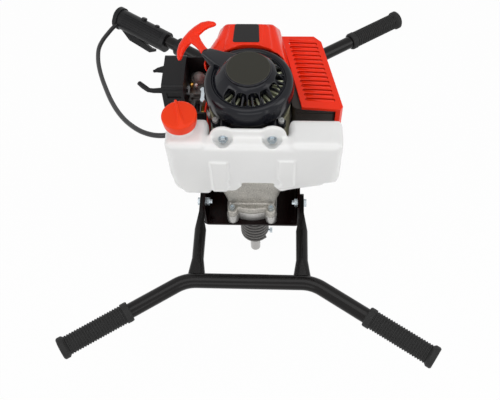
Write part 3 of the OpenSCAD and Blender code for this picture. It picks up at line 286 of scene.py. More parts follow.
def milkyTank(name, color):
    paint = Paint(name)
    cloud = paint.noise(18, 4)
    fine = paint.noise(20, 1)
    return paint.finish({
        "Base Color": paint.mix(cloud, tint(color, 0.95), tint(color, 1.02)),
        "Roughness": 0.25 + (fine - 0.5) * 0.06,
        "Subsurface Weight": 0.15,
        "Subsurface Radius": (0.006, 0.006, 0.0055),
        "Subsurface Scale": 1.0,
        "Normal": paint.bump(fine, 0.1, 0.0005),
    })


def starterShell(name, color, badgeColor):  # black moulding with a bare badge disc on its hub
    paint = Paint(name)
    wearAndHighlight = paint.edges(0.0008, 3.0)
    cloud = paint.noise(12, 4)
    fine = paint.noise(500, 2)
    axes = paint.node("ShaderNodeSeparateXYZ", {}, {"Vector": paint.coords()})
    x, y, z = (Wire(paint, axes.socket.node.outputs[i]) for i in range(3))
    reach = x * x + y * y
    disc = (z > badge["height"]) * (badge["radius"] ** 2 > reach)
    rim = disc * (reach > (badge["radius"] - badge["rim"]) ** 2)
    body = paint.mix(cloud, tint(color, 0.85), tint(color, 1.2))
    # lighter edges: partly wear, partly painted highlight
    body = paint.mix(wearAndHighlight * 0.5, body, tint(color, 3.0))
    body = paint.mix(disc, body, tint(badgeColor, 1.0))
    return paint.finish({
        "Base Color": paint.mix(rim, body, tint(badgeColor, 2.2)),
        "Roughness": 0.17 + (fine - 0.5) * 0.06 + (cloud - 0.5) * 0.06 + disc * 0.16,
        "Coat Weight": 0.14,
        "Coat Roughness": 0.06,
        "Specular IOR Level": 0.15,
        "Normal": paint.bump(fine, 0.25, 0.00004),
    })


def wovenRope(name, color):
    paint = Paint(name)
    weave = paint.node("ShaderNodeTexWave", {"bands_direction": "DIAGONAL"}, {
        "Vector": paint.coords(), "Scale": 260, "Distortion": 1.5})
    return paint.finish({
        "Base Color": paint.mix(weave, tint(color, 0.6), tint(color, 2.0)),
        "Roughness": 0.8,
        "Normal": paint.bump(weave, 0.6, 0.0003),
    })


badge = {"radius": 0.0325, "rim": 0.0012, "height": 0.4735}  # on the starter hub's top
finishes = {
    "redPlastic": mouldedPlastic("redPlastic", (0.94, 0.031, 0.006), 0.22, coat=0.05, shine=0.17),
    "capPlastic": mouldedPlastic("capPlastic", (0.88, 0.046, 0.007), 0.36, shine=0.17),
    "starterPlastic": starterShell("starterPlastic", (0.008, 0.0085, 0.012), (0.026, 0.025, 0.018)),
    "blackPlastic": mouldedPlastic("blackPlastic", (0.009, 0.009, 0.010), 0.36, grain=900, relief=0.00008,
                                   edgeLift=3.0, shine=0.19),
    "framePaint": powderCoat("framePaint", (0.008, 0.0073, 0.0073), shine=0.13),
    # black plate; its dark red tint is a painted reflection of the red parts above it
    "plateBlackAndRedReflection": powderCoat("plateBlackAndRedReflection", (0.006, 0.0018, 0.0018), shine=0.08),
    "gripRubber": rubberSkin("gripRubber", (0.011, 0.011, 0.011)),
    "sandCast": castMetal("sandCast", (0.50, 0.48, 0.44), grain=520, relief=0.0006, roughness=0.52),
    "dieCast": castMetal("dieCast", (0.60, 0.59, 0.57), grain=900, relief=0.00012, roughness=0.40),
    "fanScreen": castMetal("fanScreen", (0.72, 0.75, 0.52), grain=900, relief=0.0001, roughness=0.45),
    "fanMetal": castMetal("fanMetal", (0.34, 0.33, 0.22), grain=700, relief=0.0002, roughness=0.45),
    "carbMetal": castMetal("carbMetal", (0.12, 0.115, 0.11), grain=800, relief=0.0002, roughness=0.36),
    "zincPlate": platedSteel("zincPlate", (0.56, 0.62, 0.66), 0.26),
    "brightSteel": platedSteel("brightSteel", (0.42, 0.41, 0.40), 0.28, stretch=(1, 1, 0.05)),
    "springSteel": coiledWire("springSteel", (0.06, 0.057, 0.054), 0.38),
    "screwZinc": platedSteel("screwZinc", (0.74, 0.75, 0.74), 0.3, metal=0.35),
    "brassTurned": platedSteel("brassTurned", (0.72, 0.45, 0.10), 0.25),
    "mufflerPaint": mouldedPlastic("mufflerPaint", (0.024, 0.017, 0.013), 0.5, grain=600, relief=0.0001,
                                   edgeLift=2.0),
    "tankPlastic": milkyTank("tankPlastic", (0.86, 0.86, 0.85)),
    "bulbRubber": milkyTank("bulbRubber", (0.26, 0.26, 0.25)),
    "cableSleeve": mouldedPlastic("cableSleeve", (0.010, 0.010, 0.011), 0.38, relief=0.00005, edgeLift=2.0),
    "labelPlate": mouldedPlastic("labelPlate", (0.013, 0.012, 0.012), 0.25, coat=0.1, grain=600,
                                 edgeLift=1.6, shine=0.2),
    "ropeWeave": wovenRope("ropeWeave", (0.02, 0.02, 0.02)),
    "foamCell": rubberSkin("foamCell", (0.05, 0.05, 0.04)),
}
nodeFinish = {
    "plateBlackAndRedReflection": "base_plate",
    "framePaint": "front_bar rear_bar front_left_arm front_right_arm rear_left_arm rear_right_arm",
    "zincPlate": "arm_bolts gearbox_screws spring_stop throttle_lever tank_bolts trigger_pin",
    "screwZinc": "starter_screws",
    "gripRubber": "front_left_grip front_right_grip rear_right_grip oil_seal cap_gasket spark_plug",
    "blackPlastic": "throttle_top throttle_bottom throttle_trigger trigger_lockout filter_base filter_cover"
                    " choke_lever intake_insulator stop_switch",
    "redPlastic": "starter_handle engine_cover muffler_guard",
    "capPlastic": "fuel_cap",
    "starterPlastic": "starter_cover",
    "brightSteel": "drill_shaft output_shaft layshaft input_pinion pinion_bearing clutch_drum spring_hub"
                   " crankshaft reel_post",
    "sandCast": "gearbox_housing crankcase cylinder_barrel",
    "dieCast": "gearbox_cover",
    "fanMetal": "fan_housing flywheel starter_reel",
    "carbMetal": "carburettor clutch_shoes",
    "springSteel": "shock_spring",
    "brassTurned": "carb_fittings",
    "mufflerPaint": "muffler",
    "tankPlastic": "fuel_tank",
    "bulbRubber": "primer_bulb",
    "cableSleeve": "throttle_cable",
    "ropeWeave": "starter_rope",
    "foamCell": "filter_element",
}
for finishName, names in nodeFinish.items():
    for nodeName in names.split():
        mesh = nodes[nodeName].data
        mesh.materials.clear()
        mesh.materials.append(finishes[finishName])
print("finishes made:", len(finishes))


# pieces

def addPiece(name, mesh, finish, body, replaced=()):
    piece = bpy.data.objects.new(name, mesh)
    scene.collection.objects.link(piece)
    if finish:
        mesh.materials.clear()
        mesh.materials.append(finishes[finish])
    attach(piece, body)
    if replaced:
        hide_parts(*replaced)
    return piece


def ramped(value, low, high):  # 0 at low, 1 at high
    return min(1, max(0, (value - low) / (high - low)))


def plainMesh(name, bm):
    mesh = bpy.data.meshes.new(name)
    bm.to_mesh(mesh)
    bm.free()
    return mesh


def shadeSmooth(mesh):
    for polygon in mesh.polygons:
        polygon.use_smooth = True


def finished(name, bm):  # a smooth-shaded mesh
    mesh = plainMesh(name, bm)
    shadeSmooth(mesh)
    return mesh


def smoothed(points, steps):  # a smooth curve through the points
    line = []
    for i in range(len(points) - 1):
        before = points[max(i - 1, 0)]
        a, b = points[i], points[i + 1]
        after = points[min(i + 2, len(points) - 1)]
        for k in range(steps):
            t = k / steps
            line.append(0.5 * (2 * a + (b - before) * t + (2 * before - 5 * a + 4 * b - after) * t ** 2
                               + (3 * a - before - 3 * b + after) * t ** 3))
    return line + [points[-1]]


def tubeMesh(name, line, radius, sides):
    bm = bmesh.new()
    rings = []
    side = None
    for i, point in enumerate(line):
        along = (line[min(i + 1, len(line) - 1)] - line[max(i - 1, 0)]).normalized()
        if side is None:
            side = along.orthogonal().normalized()
        side = (side - along * side.dot(along)).normalized()
        over = along.cross(side)
        ring = []
        for k in range(sides):
            angle = 2 * math.pi * k / sides
            ring.append(bm.verts.new(point + radius * (math.cos(angle) * side + math.sin(angle) * over)))
        rings.append(ring)
    for low, high in zip(rings, rings[1:]):
        for k in range(sides):
            bm.faces.new((low[k], low[(k + 1) % sides], high[(k + 1) % sides], high[k]))
    bm.faces.new(rings[0][::-1])
    bm.faces.new(rings[-1])
    for face in bm.faces:
        face.smooth = len(face.verts) == 4
    return plainMesh(name, bm)


def softened(name, bm, voxel, passes):  # one skin over all shells, with rounded edges
    holder = bpy.data.objects.new(name + "Raw", plainMesh(name + "Raw", bm))
    scene.collection.objects.link(holder)
    remesh = holder.modifiers.new("remesh", "REMESH")
    remesh.mode = "VOXEL"
    remesh.voxel_size = voxel
    smooth = holder.modifiers.new("smooth", "SMOOTH")
    smooth.factor = 0.5
    smooth.iterations = passes
    made = bpy.data.meshes.new_from_object(holder.evaluated_get(bpy.context.evaluated_depsgraph_get()))
    bpy.data.objects.remove(holder)
    made.name = name
    shadeSmooth(made)
    return made


def nodeShape(node):  # a merged copy of a node's mesh
    bm = bmesh.new()
    bm.from_mesh(nodes[node].data)
    bmesh.ops.remove_doubles(bm, verts=bm.verts, dist=0.00002)
    return bm


def addBox(bm, low, high):  # corners in millimetres
    made = bmesh.ops.create_cube(bm, size=1)
    for vert in made["verts"]:
        vert.co = [(low[i] + high[i]) / 2000 + vert.co[i] * (high[i] - low[i]) / 1000 for i in range(3)]


def addDisc(bm, x, z, radius, back, front):  # a round pad that faces the front, in millimetres
    middle = Vector((x, (back + front) / 2, z)) / 1000
    place = Matrix.Translation(middle) @ Matrix.Rotation(math.pi / 2, 4, "X")
    bmesh.ops.create_cone(bm, cap_ends=True, segments=48, radius1=radius / 1000, radius2=radius / 1000,
                          depth=abs(back - front) / 1000, matrix=place)


def addLoft(bm, stations, sides=20):  # oval sections: centre, half width and half height as vectors
    rings = []
    for centre, across, over in stations:
        ring = []
        for k in range(sides):
            angle = 2 * math.pi * k / sides
            ring.append(bm.verts.new(centre + math.cos(angle) * across + math.sin(angle) * over))
        rings.append(ring)
    skin = [bm.faces.new(rings[0][::-1]), bm.faces.new(rings[-1])]
    for low, high in zip(rings, rings[1:]):
        for k in range(sides):
            skin.append(bm.faces.new((low[k], low[(k + 1) % sides], high[(k + 1) % sides], high[k])))
    bmesh.ops.recalc_face_normals(bm, faces=skin)


def addLathe(bm, profile, place, segments=72):  # closed profile of radius and height, in millimetres
    rings = []
    for radius, height in profile:
        count = segments if radius > 0 else 1
        rings.append([bm.verts.new(Vector((radius * math.cos(2 * math.pi * k / segments),
                                           radius * math.sin(2 * math.pi * k / segments), height)) / 1000
                                   + Vector(place)) for k in range(count)])
    skin = []
    for low, high in zip(rings, rings[1:] + rings[:1]):
        if len(low) == 1 and len(high) == 1:
            continue
        for k in range(segments):
            n = (k + 1) % segments
            corners = [low[k % len(low)], low[n % len(low)], high[n % len(high)], high[k % len(high)]]
            skin.append(bm.faces.new(list(dict.fromkeys(corners))))
    bmesh.ops.recalc_face_normals(bm, faces=skin)


throttleCable = {
    "radius": 0.0045,
    "route": [  # millimetres; heights above the base plate's underside, as in the part's source
        (-303, 406, 30), (-313, 391, 30), (-322, 372, 30), (-329, 350, 32), (-332, 324, 35), (-328, 294, 39),
        (-320, 264, 45), (-308, 230, 52), (-292, 192, 61), (-274, 153, 72), (-254, 116, 85), (-233, 84, 98),
        (-212, 58, 111), (-193, 39, 122), (-174, 25, 132), (-157, 16, 141), (-140, 12, 148), (-124, 14, 153),
        (-110, 22, 157), (-99, 34, 160), (-94, 50, 161), (-94, 66, 161)],
}


def makeCable():
    points = [Vector((x, y, z)) / 1000 + Vector((0, 0, plateZ)) for x, y, z in throttleCable["route"]]
    line = smoothed(points, steps=6)
    mesh = tubeMesh("throttleCable", line, throttleCable["radius"], sides=16)
    cable = addPiece("throttleCable", mesh, "cableSleeve", "frame", ["throttle_cable"])
    length = sum((b - a).length for a, b in zip(line, line[1:]))
    print("throttle cable:", round(length, 3), "m")


makeCable()

shockSpring = {"wire": 0.0095, "radius": 0.0235, "pitch": 0.0105, "turns": 12, "endAngle": -55}


def makeSpring():
    size = shockSpring
    end = math.radians(size["endAngle"])
    steps = 28
    coil = []
    for i in range(size["turns"] * steps + 1):
        angle = end - 2 * math.pi * i / steps
        coil.append(Vector((size["radius"] * math.cos(angle), size["radius"] * math.sin(angle),
                            size["wire"] / 2 + size["pitch"] * i / steps)))
    along = Vector((-math.sin(end), math.cos(end), 0)) * size["wire"]
    line = [coil[0] + along] + coil + [coil[-1] - along]
    mesh = tubeMesh("shockSpring", line, size["wire"] / 2, sides=14)
    addPiece("shockSpring", mesh, "springSteel", "drive_hub", ["shock_spring"])


makeSpring()

tankForm = {  # millimetres, in the part's frame
    "panels": (((-56, -102.6, 300), (-31, -98.5, 378)), ((46, -102.6, 310), (69, -98.5, 384))),
    "humps": ((-36, 411, 20), (37, 414, 20)),  # place across, height and radius, round the bolts
    "humpBack": -72.5, "humpFront": -78.5,
    "saddle": ((-36, -79, 404), (37, -72.5, 427)),
    "riseFrom": 40, "rise": 0.30, "riseTop": 380, "low": 286,  # the right end's bottom slopes up
    "notchX": 14, "notchHalf": 25, "notchLow": 296, "notchRise": 27, "flare": 13, "draw": 7,
    "notchFade": 0.4, "notchEdge": (60, 27),  # where the flare dies out, above and to the sides
    "heel": (-88, 319, 30, -75, -96),  # round lower left corner: across, height, radius, back and front
}


def tankShape(x, y, z):  # slope of the right end and flare of the notch
    form = tankForm
    if x > form["riseFrom"]:
        z += (x - form["riseFrom"]) * form["rise"] * ramped(z, form["riseTop"], form["low"])
    away = x - form["notchX"]
    up = (z - form["notchLow"]) / form["notchRise"]
    shift = form["flare"] * (1 - up) - form["draw"] * up
    if up > 1:
        shift *= max(0, 1 - (up - 1) / form["notchFade"])
    near = min(abs(away) / form["notchHalf"], ramped(abs(away), *form["notchEdge"]))
    return x + math.copysign(shift * near, away), y, z


def makeTank():
    bm = nodeShape("fuel_tank")
    for low, high in tankForm["panels"]:
        addBox(bm, low, high)
    addBox(bm, *tankForm["saddle"])
    for x, z, radius in tankForm["humps"]:
        addDisc(bm, x, z, radius, tankForm["humpBack"], tankForm["humpFront"])
    addDisc(bm, *tankForm["heel"])
    mesh = softened("tankShell", bm, voxel=0.0016, passes=10)
    for vert in mesh.vertices:
        vert.co = Vector(tankShape(*(vert.co * 1000))) / 1000
    addPiece("tankShell", mesh, "tankPlastic", "frame", ["fuel_tank"])


makeTank()

hoodForm = {  # in millimetres
    "panel": ((-34, 66, 440), (18, 111, 454.4)),  # raised, under the label
    "spread": 8, "across": (-32, -46), "back": (105, 65), "rise": (420, 438), "fall": (452, 438),
}


def makeHood():  # the left wall spreads towards the starter
    bm = nodeShape("engine_cover")
    addBox(bm, *hoodForm["panel"])
    mesh = softened("engineHood", bm, voxel=0.0013, passes=4)
    for vert in mesh.vertices:
        x, y, z = vert.co * 1000
        spread = hoodForm["spread"] * ramped(x, *hoodForm["across"]) * ramped(y, *hoodForm["back"])
        vert.co.x -= spread * ramped(z, *hoodForm["rise"]) * ramped(z, *hoodForm["fall"]) / 1000
    addPiece("engineHood", mesh, "redPlastic", "frame", ["engine_cover"])


makeHood()

gearTaper = {"low": 188, "high": 240, "inset": 4.5, "outset": 6, "from": 40, "full": 50}  # in millimetres


def makeGearCase():  # side walls that spread towards the engine
    form = gearTaper
    mesh = softened("gearCase", nodeShape("gearbox_housing"), voxel=0.0016, passes=6)
    for vert in mesh.vertices:
        x = abs(vert.co.x) * 1000
        up = ramped(vert.co.z * 1000, form["low"], form["high"])
        wall = ramped(x, form["from"], form["full"])
        x += wall * (up * (form["inset"] + form["outset"]) - form["inset"])
        vert.co.x = math.copysign(x / 1000, vert.co.x)
    addPiece("gearCase", mesh, "sandCast", "frame", ["gearbox_housing"])


makeGearCase()

starterPull = {"angle": 123.2, "reelRadius": 26, "height": 446,  # where the rope leaves the reel
               "reach": 86, "radius": 2, "steps": 60}  # in millimetres


def ropeLine():  # first point, way along and way across
    angle = math.radians(starterPull["angle"])
    along = Vector((math.cos(angle), math.sin(angle), 0))
    side = Vector((-along.y, along.x, 0))
    return starterPull["reelRadius"] * side + Vector((0, 0, starterPull["height"])), along, side


pullHandle = {  # along the rope and across it, half width and half thickness, in millimetres
    "roll": -30,
    "bow": ((110.5, -39.5, 2.2, 2.0), (114, -37, 4.3, 3.6), (120.5, -31, 6.2, 4.8), (126, -22, 8, 5.6),
            (128, -11, 9.2, 6), (128.5, 0, 9.8, 6.2), (128, 11, 9.2, 6), (126, 22, 8, 5.6),
            (120.5, 31, 6.2, 4.8), (114, 37, 4.3, 3.6), (110.5, 39.5, 2.2, 2.0)),
    "stem": ((86.5, 6.4, 6.0), (95, 5.9, 5.4), (108, 6.8, 5.2), (124, 10, 5.2)),
}


def makePullHandle():
    size = pullHandle
    roll = math.radians(size["roll"])
    start, along, side = ropeLine()
    across = math.cos(roll) * side + math.sin(roll) * Vector((0, 0, 1))
    over = along.cross(across)
    bow = [start + t * along + w * across for t, w, half, thick in size["bow"]]
    bm = bmesh.new()
    stations = []
    for i, (t, w, half, thick) in enumerate(size["bow"]):
        run = (bow[min(i + 1, len(bow) - 1)] - bow[max(i - 1, 0)]).normalized()
        stations.append((bow[i] / 1000, run.cross(over) * half / 1000, over * thick / 1000))
    addLoft(bm, stations)
    addLoft(bm, [((start + t * along) / 1000, across * half / 1000, over * thick / 1000)
                 for t, half, thick in size["stem"]])
    mesh = softened("pullHandle", bm, voxel=0.0008, passes=8)
    addPiece("pullHandle", mesh, "redPlastic", "pull_grip", ["starter_handle"])


makePullHandle()

tankCap = {
    "place": (-0.098, -0.066, 0), "turn": -74,
    "profile": (  # radius and height, in millimetres
        (0, 448), (22.5, 448), (25.2, 447.2), (26, 445.5), (25.7, 441), (24.4, 429.5), (23.4, 428.5),
        (20, 428.5), (19.8, 444.5), (0, 444.5)),
    "fin": (  # finger bar: place along it, half width and height, in millimetres
        (-24, 2.6, 7.0), (-12, 2.8, 7.0), (0, 3.6, 6.2), (12, 5.2, 5.0), (22, 7.0, 2.2)),
    "finFoot": 0.4465,
}


def makeTankCap():
    bm = bmesh.new()
    addLathe(bm, tankCap["profile"], tankCap["place"])
    turn = math.radians(tankCap["turn"])
    along = Vector((math.cos(turn), math.sin(turn), 0)) / 1000
    side = Vector((-along.y, along.x, 0))
    base = Vector(tankCap["place"]) + Vector((0, 0, tankCap["finFoot"]))
    addLoft(bm, [(base + along * reach, side * half, Vector((0, 0, height / 1000)))
                 for reach, half, height in tankCap["fin"]])
    mesh = softened("capBody", bm, voxel=0.0007, passes=4)
    addPiece("capBody", mesh, "capPlastic", "cap", ["fuel_cap"])


makeTankCap()

prongs = {  # centres in millimetres with the half width across and the half height
    "filterProng": ((-144, 116, 348, 6.5, 4.5), (-152, 115.5, 348, 5.5, 4.5), (-162, 113.5, 347, 4.2, 3.6),
                    (-169.5, 110.5, 346, 2.2, 2.0)),
    "chokeArm": ((-147.5, 74, 340, 5.6, 4.6), (-156, 73.6, 340, 5.0, 4.2), (-166, 73, 340, 4.4, 3.8),
                 (-175, 74, 340.5, 4.0, 3.6), (-184, 79.5, 342.3, 3.8, 3.5), (-192.5, 86.5, 344.3, 3.4, 3.2)),
}


def makeProng(name, body):
    points = [Vector(row[:3]) for row in prongs[name]]
    stations = []
    for i, (x, y, z, half, high) in enumerate(prongs[name]):
        run = (points[min(i + 1, len(points) - 1)] - points[max(i - 1, 0)]).normalized()
        side = run.cross(Vector((0, 0, 1))).normalized()
        stations.append((points[i] / 1000, side * half / 1000, side.cross(run) * high / 1000))
    bm = bmesh.new()
    addLoft(bm, stations)
    addPiece(name, softened(name, bm, voxel=0.0006, passes=4), "blackPlastic", body)


makeProng("filterProng", "frame")
makeProng("chokeArm", "choke")

boltEnd = 0.0705  # inner end of the threads, from the middle


def makeArmBolts():  # the thread ends just past each nut
    bm = nodeShape("arm_bolts")
    for vert in bm.verts:
        vert.co.x = math.copysign(max(abs(vert.co.x), boltEnd), vert.co.x)
    addPiece("armBolts", plainMesh("armBolts", bm), "zincPlate", "frame", ["arm_bolts"])


makeArmBolts()
print("moulded pieces done")


def makeStarterRope():  # runs straight off the reel towards the handle
    first, along, side = ropeLine()
    steps = starterPull["steps"]
    line = [(first + along * starterPull["reach"] * i / steps) / 1000 for i in range(steps + 1)]
    mesh = tubeMesh("starterRope", line, starterPull["radius"] / 1000, sides=14)
    rope = bpy.data.objects.new("starterRope", mesh)
    scene.collection.objects.link(rope)
    mesh.materials.append(finishes["ropeWeave"])
    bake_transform(rope)
    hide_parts("starter_rope")


makeStarterRope()

labelPlate = {"corners": ((-27, 71), (14, 71), (12, 110), (-25, 110)),  # in millimetres
              "height": 0.4543, "thick": 0.0006, "round": 0.003}


def makeLabelPlate():  # bare plate on the hood's raised panel
    bm = bmesh.new()
    low = [bm.verts.new((x / 1000, y / 1000, labelPlate["height"])) for x, y in labelPlate["corners"]]
    bm.faces.new(low)
    bmesh.ops.bevel(bm, geom=list(bm.verts), offset=labelPlate["round"], segments=5, affect="VERTICES",
                    profile=0.5)
    made = bmesh.ops.extrude_face_region(bm, geom=list(bm.faces))
    top = [v for v in made["geom"] if isinstance(v, bmesh.types.BMVert)]
    bmesh.ops.translate(bm, verts=top, vec=(0, 0, labelPlate["thick"]))
    bmesh.ops.recalc_face_normals(bm, faces=bm.faces)
    addPiece("labelPlate", plainMesh("labelPlate", bm), "labelPlate", "frame")


makeLabelPlate()


# repeats made with Geometry Nodes

class Grower:  # one Geometry Nodes tree with named inputs
    def __init__(self, name, inputs):
        self.tree = bpy.data.node_groups.new(name, "GeometryNodeTree")
        self.sockets = {}
        for key, value in inputs.items():
            kind = "NodeSocketInt" if isinstance(value, int) else "NodeSocketFloat"
            if isinstance(value, tuple):
                kind = "NodeSocketVector"
            self.sockets[key] = self.tree.interface.new_socket(key, in_out="INPUT", socket_type=kind)
        self.tree.interface.new_socket("Mesh", in_out="OUTPUT", socket_type="NodeSocketGeometry")
        self.entry = self.tree.nodes.new("NodeGroupInput")
        self.values = inputs

    def given(self, key):
        return self.entry.outputs[key]

    def node(self, kind, inputs=None, settings=None):
        made = self.tree.nodes.new(kind)
        for key, value in (settings or {}).items():
            setattr(made, key, value)
        for key, value in (inputs or {}).items():
            if isinstance(value, bpy.types.NodeSocket):
                self.tree.links.new(value, made.inputs[key])
            else:
                made.inputs[key].default_value = value
        return made.outputs[0]

    def line(self):  # points from First, each a Step on
        return self.node("GeometryNodeMeshLine", {
            "Count": self.given("Count"), "Start Location": self.given("First"),
            "Offset": self.given("Step")})

    def outward(self):  # turns each copy's X away from the ring's centre
        place = self.node("GeometryNodeInputPosition")
        axes = {"axis": "X", "pivot_axis": "Z"}
        return self.node("FunctionNodeAlignRotationToVector", {"Vector": place}, axes)

    def mesh(self, shape, finish):
        real = self.node("GeometryNodeRealizeInstances", {0: shape})
        painted = self.node("GeometryNodeSetMaterial", {"Geometry": real, "Material": finishes[finish]})
        exitNode = self.tree.nodes.new("NodeGroupOutput")
        self.tree.links.new(painted, exitNode.inputs[0])
        holder = bpy.data.objects.new(self.tree.name, bpy.data.meshes.new(self.tree.name))
        scene.collection.objects.link(holder)
        modifier = holder.modifiers.new("grow", "NODES")
        modifier.node_group = self.tree
        for key, value in self.values.items():
            modifier[self.sockets[key].identifier] = value
        made = bpy.data.meshes.new_from_object(holder.evaluated_get(bpy.context.evaluated_depsgraph_get()))
        bpy.data.objects.remove(holder)
        return made


guardLouvres = {"Count": 14, "First": (0.1077, 0.0026, 0.4016), "Step": (-0.00197, 0.00908, 0.0),
                "Size": (0.043, 0.0040, 0.0010), "Tilt": (0.75, 0.0, -0.05)}


def makeLouvres():
    grow = Grower("guardLouvres", guardLouvres)
    blade = grow.node("GeometryNodeMeshCube", {"Size": grow.given("Size")})
    rows = grow.node("GeometryNodeInstanceOnPoints", {"Points": grow.line(), "Instance": blade,
                                                      "Rotation": grow.given("Tilt")})
    addPiece("guardLouvres", grow.mesh(rows, "redPlastic"), None, "frame")


guardRidges = {"Count": 15, "First": (0.1087, -0.0020, 0.4052), "Step": (-0.00197, 0.00908, 0.0),
               "Radius": 0.0021, "Length": 0.041, "Turn": (0.0, 1.5708, -0.05)}


def makeRidges():  # rounded bars between the guard's slots
    grow = Grower("guardRidges", guardRidges)
    bar = grow.node("GeometryNodeMeshCylinder", {"Vertices": 16, "Radius": grow.given("Radius"),
                                                 "Depth": grow.given("Length")})
    rows = grow.node("GeometryNodeInstanceOnPoints", {"Points": grow.line(), "Instance": bar,
                                                      "Rotation": grow.given("Turn")})
    mesh = grow.mesh(rows, "redPlastic")
    for polygon in mesh.polygons:
        polygon.use_smooth = len(polygon.vertices) == 4
    addPiece("guardRidges", mesh, None, "frame")


makeLouvres()
makeRidges()
print("repeats done")

starterCone = {"sectors": 16, "topRadius": 0.0335, "topZ": 0.4700, "footRadius": 0.0545, "footZ": 0.4455,
               "wall": 0.0022, "bulge": 0.0022, "shut": (140, 222),  # windows between these angles stay shut
               "across": (0, 0.05, 0.5, 0.95), "down": (0, 0.12, 0.30, 0.72, 0.88, 1.0)}  # shares of a sector


def makeStarterCone():  # vented cone between the starter's hub and its ring
    size = starterCone
    bm = bmesh.new()
    columns = []
    for i in range(size["sectors"]):
        columns += [(i + a) / size["sectors"] for a in size["across"]]
    grid = []
    for t in size["down"]:
        bulge = size["bulge"] * math.sin(math.pi * t)
        radius = size["topRadius"] + (size["footRadius"] - size["topRadius"]) * t + bulge
        z = size["topZ"] + (size["footZ"] - size["topZ"]) * t + bulge
        turns = [2 * math.pi * c for c in columns]
        grid.append([bm.verts.new((radius * math.cos(a), radius * math.sin(a), z)) for a in turns])
    count = len(columns)
    for row in range(len(size["down"]) - 1):
        for k in range(count):
            angle = 360 * (columns[k] + 0.5 / size["sectors"] / 4) % 360
            shut = size["shut"][0] < angle < size["shut"][1]
            if row in (2, 3) and k % 4 in (1, 2) and not shut:
                continue
            n = (k + 1) % count
            bm.faces.new((grid[row][k], grid[row + 1][k], grid[row + 1][n], grid[row][n]))
    bmesh.ops.recalc_face_normals(bm, faces=bm.faces)
    cone = addPiece("starterCone", finished("starterCone", bm), "starterPlastic", "frame")
    solid = cone.modifiers.new("wall", "SOLIDIFY")
    solid.thickness = size["wall"]
    solid.offset = -1
    soft = cone.modifiers.new("soft", "SUBSURF")
    soft.levels = 2
    soft.render_levels = 2


fanScreen = {"Count": 36, "Radius": 0.0445, "Size": (0.0170, 0.0030, 0.0060), "Place": (0, 0, 0.4435)}


def makeFanScreen():  # light fins seen through the cone's windows
    grow = Grower("fanScreen", fanScreen)
    ring = grow.node("GeometryNodeMeshCircle", {
        "Vertices": grow.given("Count"), "Radius": grow.given("Radius")})
    bar = grow.node("GeometryNodeMeshCube", {"Size": grow.given("Size")})
    turn = grow.outward()
    rows = grow.node("GeometryNodeInstanceOnPoints", {"Points": ring, "Instance": bar, "Rotation": turn})
    placed = grow.node("GeometryNodeTransform", {"Geometry": rows, "Translation": grow.given("Place")})
    addPiece("fanScreen", grow.mesh(placed, "fanScreen"), None, "frame")


makeStarterCone()
makeFanScreen()

ropeGuide = {  # wedge over the rope, from the hub to its outlet, in millimetres
    "plan": ((-8, 33), (-33, 2), (-50, 22), (-74, 50), (-62, 60), (-40, 48)),
    "top": (468, 468, 460, 455, 455, 460),
    "low": 447, "lean": 0.985, "round": 2.5,  # the top is that share of the plan
}


def makeRopeGuide():
    bm = bmesh.new()
    plan = ropeGuide["plan"]
    low = [bm.verts.new((x / 1000, y / 1000, ropeGuide["low"] / 1000)) for x, y in plan]
    lean = ropeGuide["lean"]
    top = [bm.verts.new((x * lean / 1000, y * lean / 1000, z / 1000))
           for (x, y), z in zip(plan, ropeGuide["top"])]
    bm.faces.new(top)
    bm.faces.new(low[::-1])
    for k in range(len(plan)):
        n = (k + 1) % len(plan)
        bm.faces.new((low[k], low[n], top[n], top[k]))
    bmesh.ops.recalc_face_normals(bm, faces=bm.faces)
    bmesh.ops.triangulate(bm, faces=[f for f in bm.faces if len(f.verts) > 4])
    guide = addPiece("ropeGuide", finished("ropeGuide", bm), "starterPlastic", "frame")
    bevel = guide.modifiers.new("round", "BEVEL")
    bevel.width = ropeGuide["round"] / 1000
    bevel.segments = 4
    bevel.limit_method = "ANGLE"


makeRopeGuide()

starterRing = {  # radius and height, in millimetres
    "profile": ((52.5, 444), (53, 448.5), (55, 451.2), (58, 452.3), (61.5, 451.8), (64.8, 449.4), (66.9, 445),
                (67.6, 438), (67.6, 428), (66.8, 420), (64.5, 417), (61, 420), (58, 432), (55, 440)),
}


def makeStarterRing():  # rounded rim over the ring
    bm = bmesh.new()
    addLathe(bm, starterRing["profile"], (0, 0, 0), segments=96)
    ring = addPiece("starterRing", finished("starterRing", bm), "starterPlastic", "frame")
    soft = ring.modifiers.new("soft", "SUBSURF")
    soft.levels = 1
    soft.render_levels = 1


makeStarterRing()

gripRibs = {"Count": 7, "Radius": 0.0181, "Size": (0.0016, 0.0020, 0.104), "Front": (1.66, 1.42),
            "Place": (-0.2417, 0.3825, 0.184), "Turn": (0.0, 1.5708, 2.5569)}


def makeGripRibs():  # lengthwise ribs on the throttle handle's front side
    grow = Grower("gripRibs", {k: v for k, v in gripRibs.items() if k != "Front"})
    arc = grow.node("GeometryNodeCurveArc", {
        "Resolution": grow.given("Count"), "Radius": grow.given("Radius"),
        "Start Angle": gripRibs["Front"][0], "Sweep Angle": gripRibs["Front"][1]})
    bar = grow.node("GeometryNodeMeshCube", {"Size": grow.given("Size")})
    turn = grow.outward()
    rows = grow.node("GeometryNodeInstanceOnPoints", {"Points": arc, "Instance": bar, "Rotation": turn})
    placed = grow.node("GeometryNodeTransform", {"Geometry": rows, "Translation": grow.given("Place"),
                                                 "Rotation": grow.given("Turn")})
    addPiece("gripRibs", grow.mesh(placed, "blackPlastic"), None, "frame")


makeGripRibs()

intakePlates = {  # a plate behind the carburettor, and a dark sheet between it and the tank that stands in for the shade there, in millimetres
    "intakeBracket": ((-110, 119.5, 300), (-72, 122.5, 371)),
    # dark sheet standing in for the shade between the carburettor and the tank
    "shadeSheet": ((-86, -22, 335), (-66, -18, 396)),
    "edge": 0.9,
}


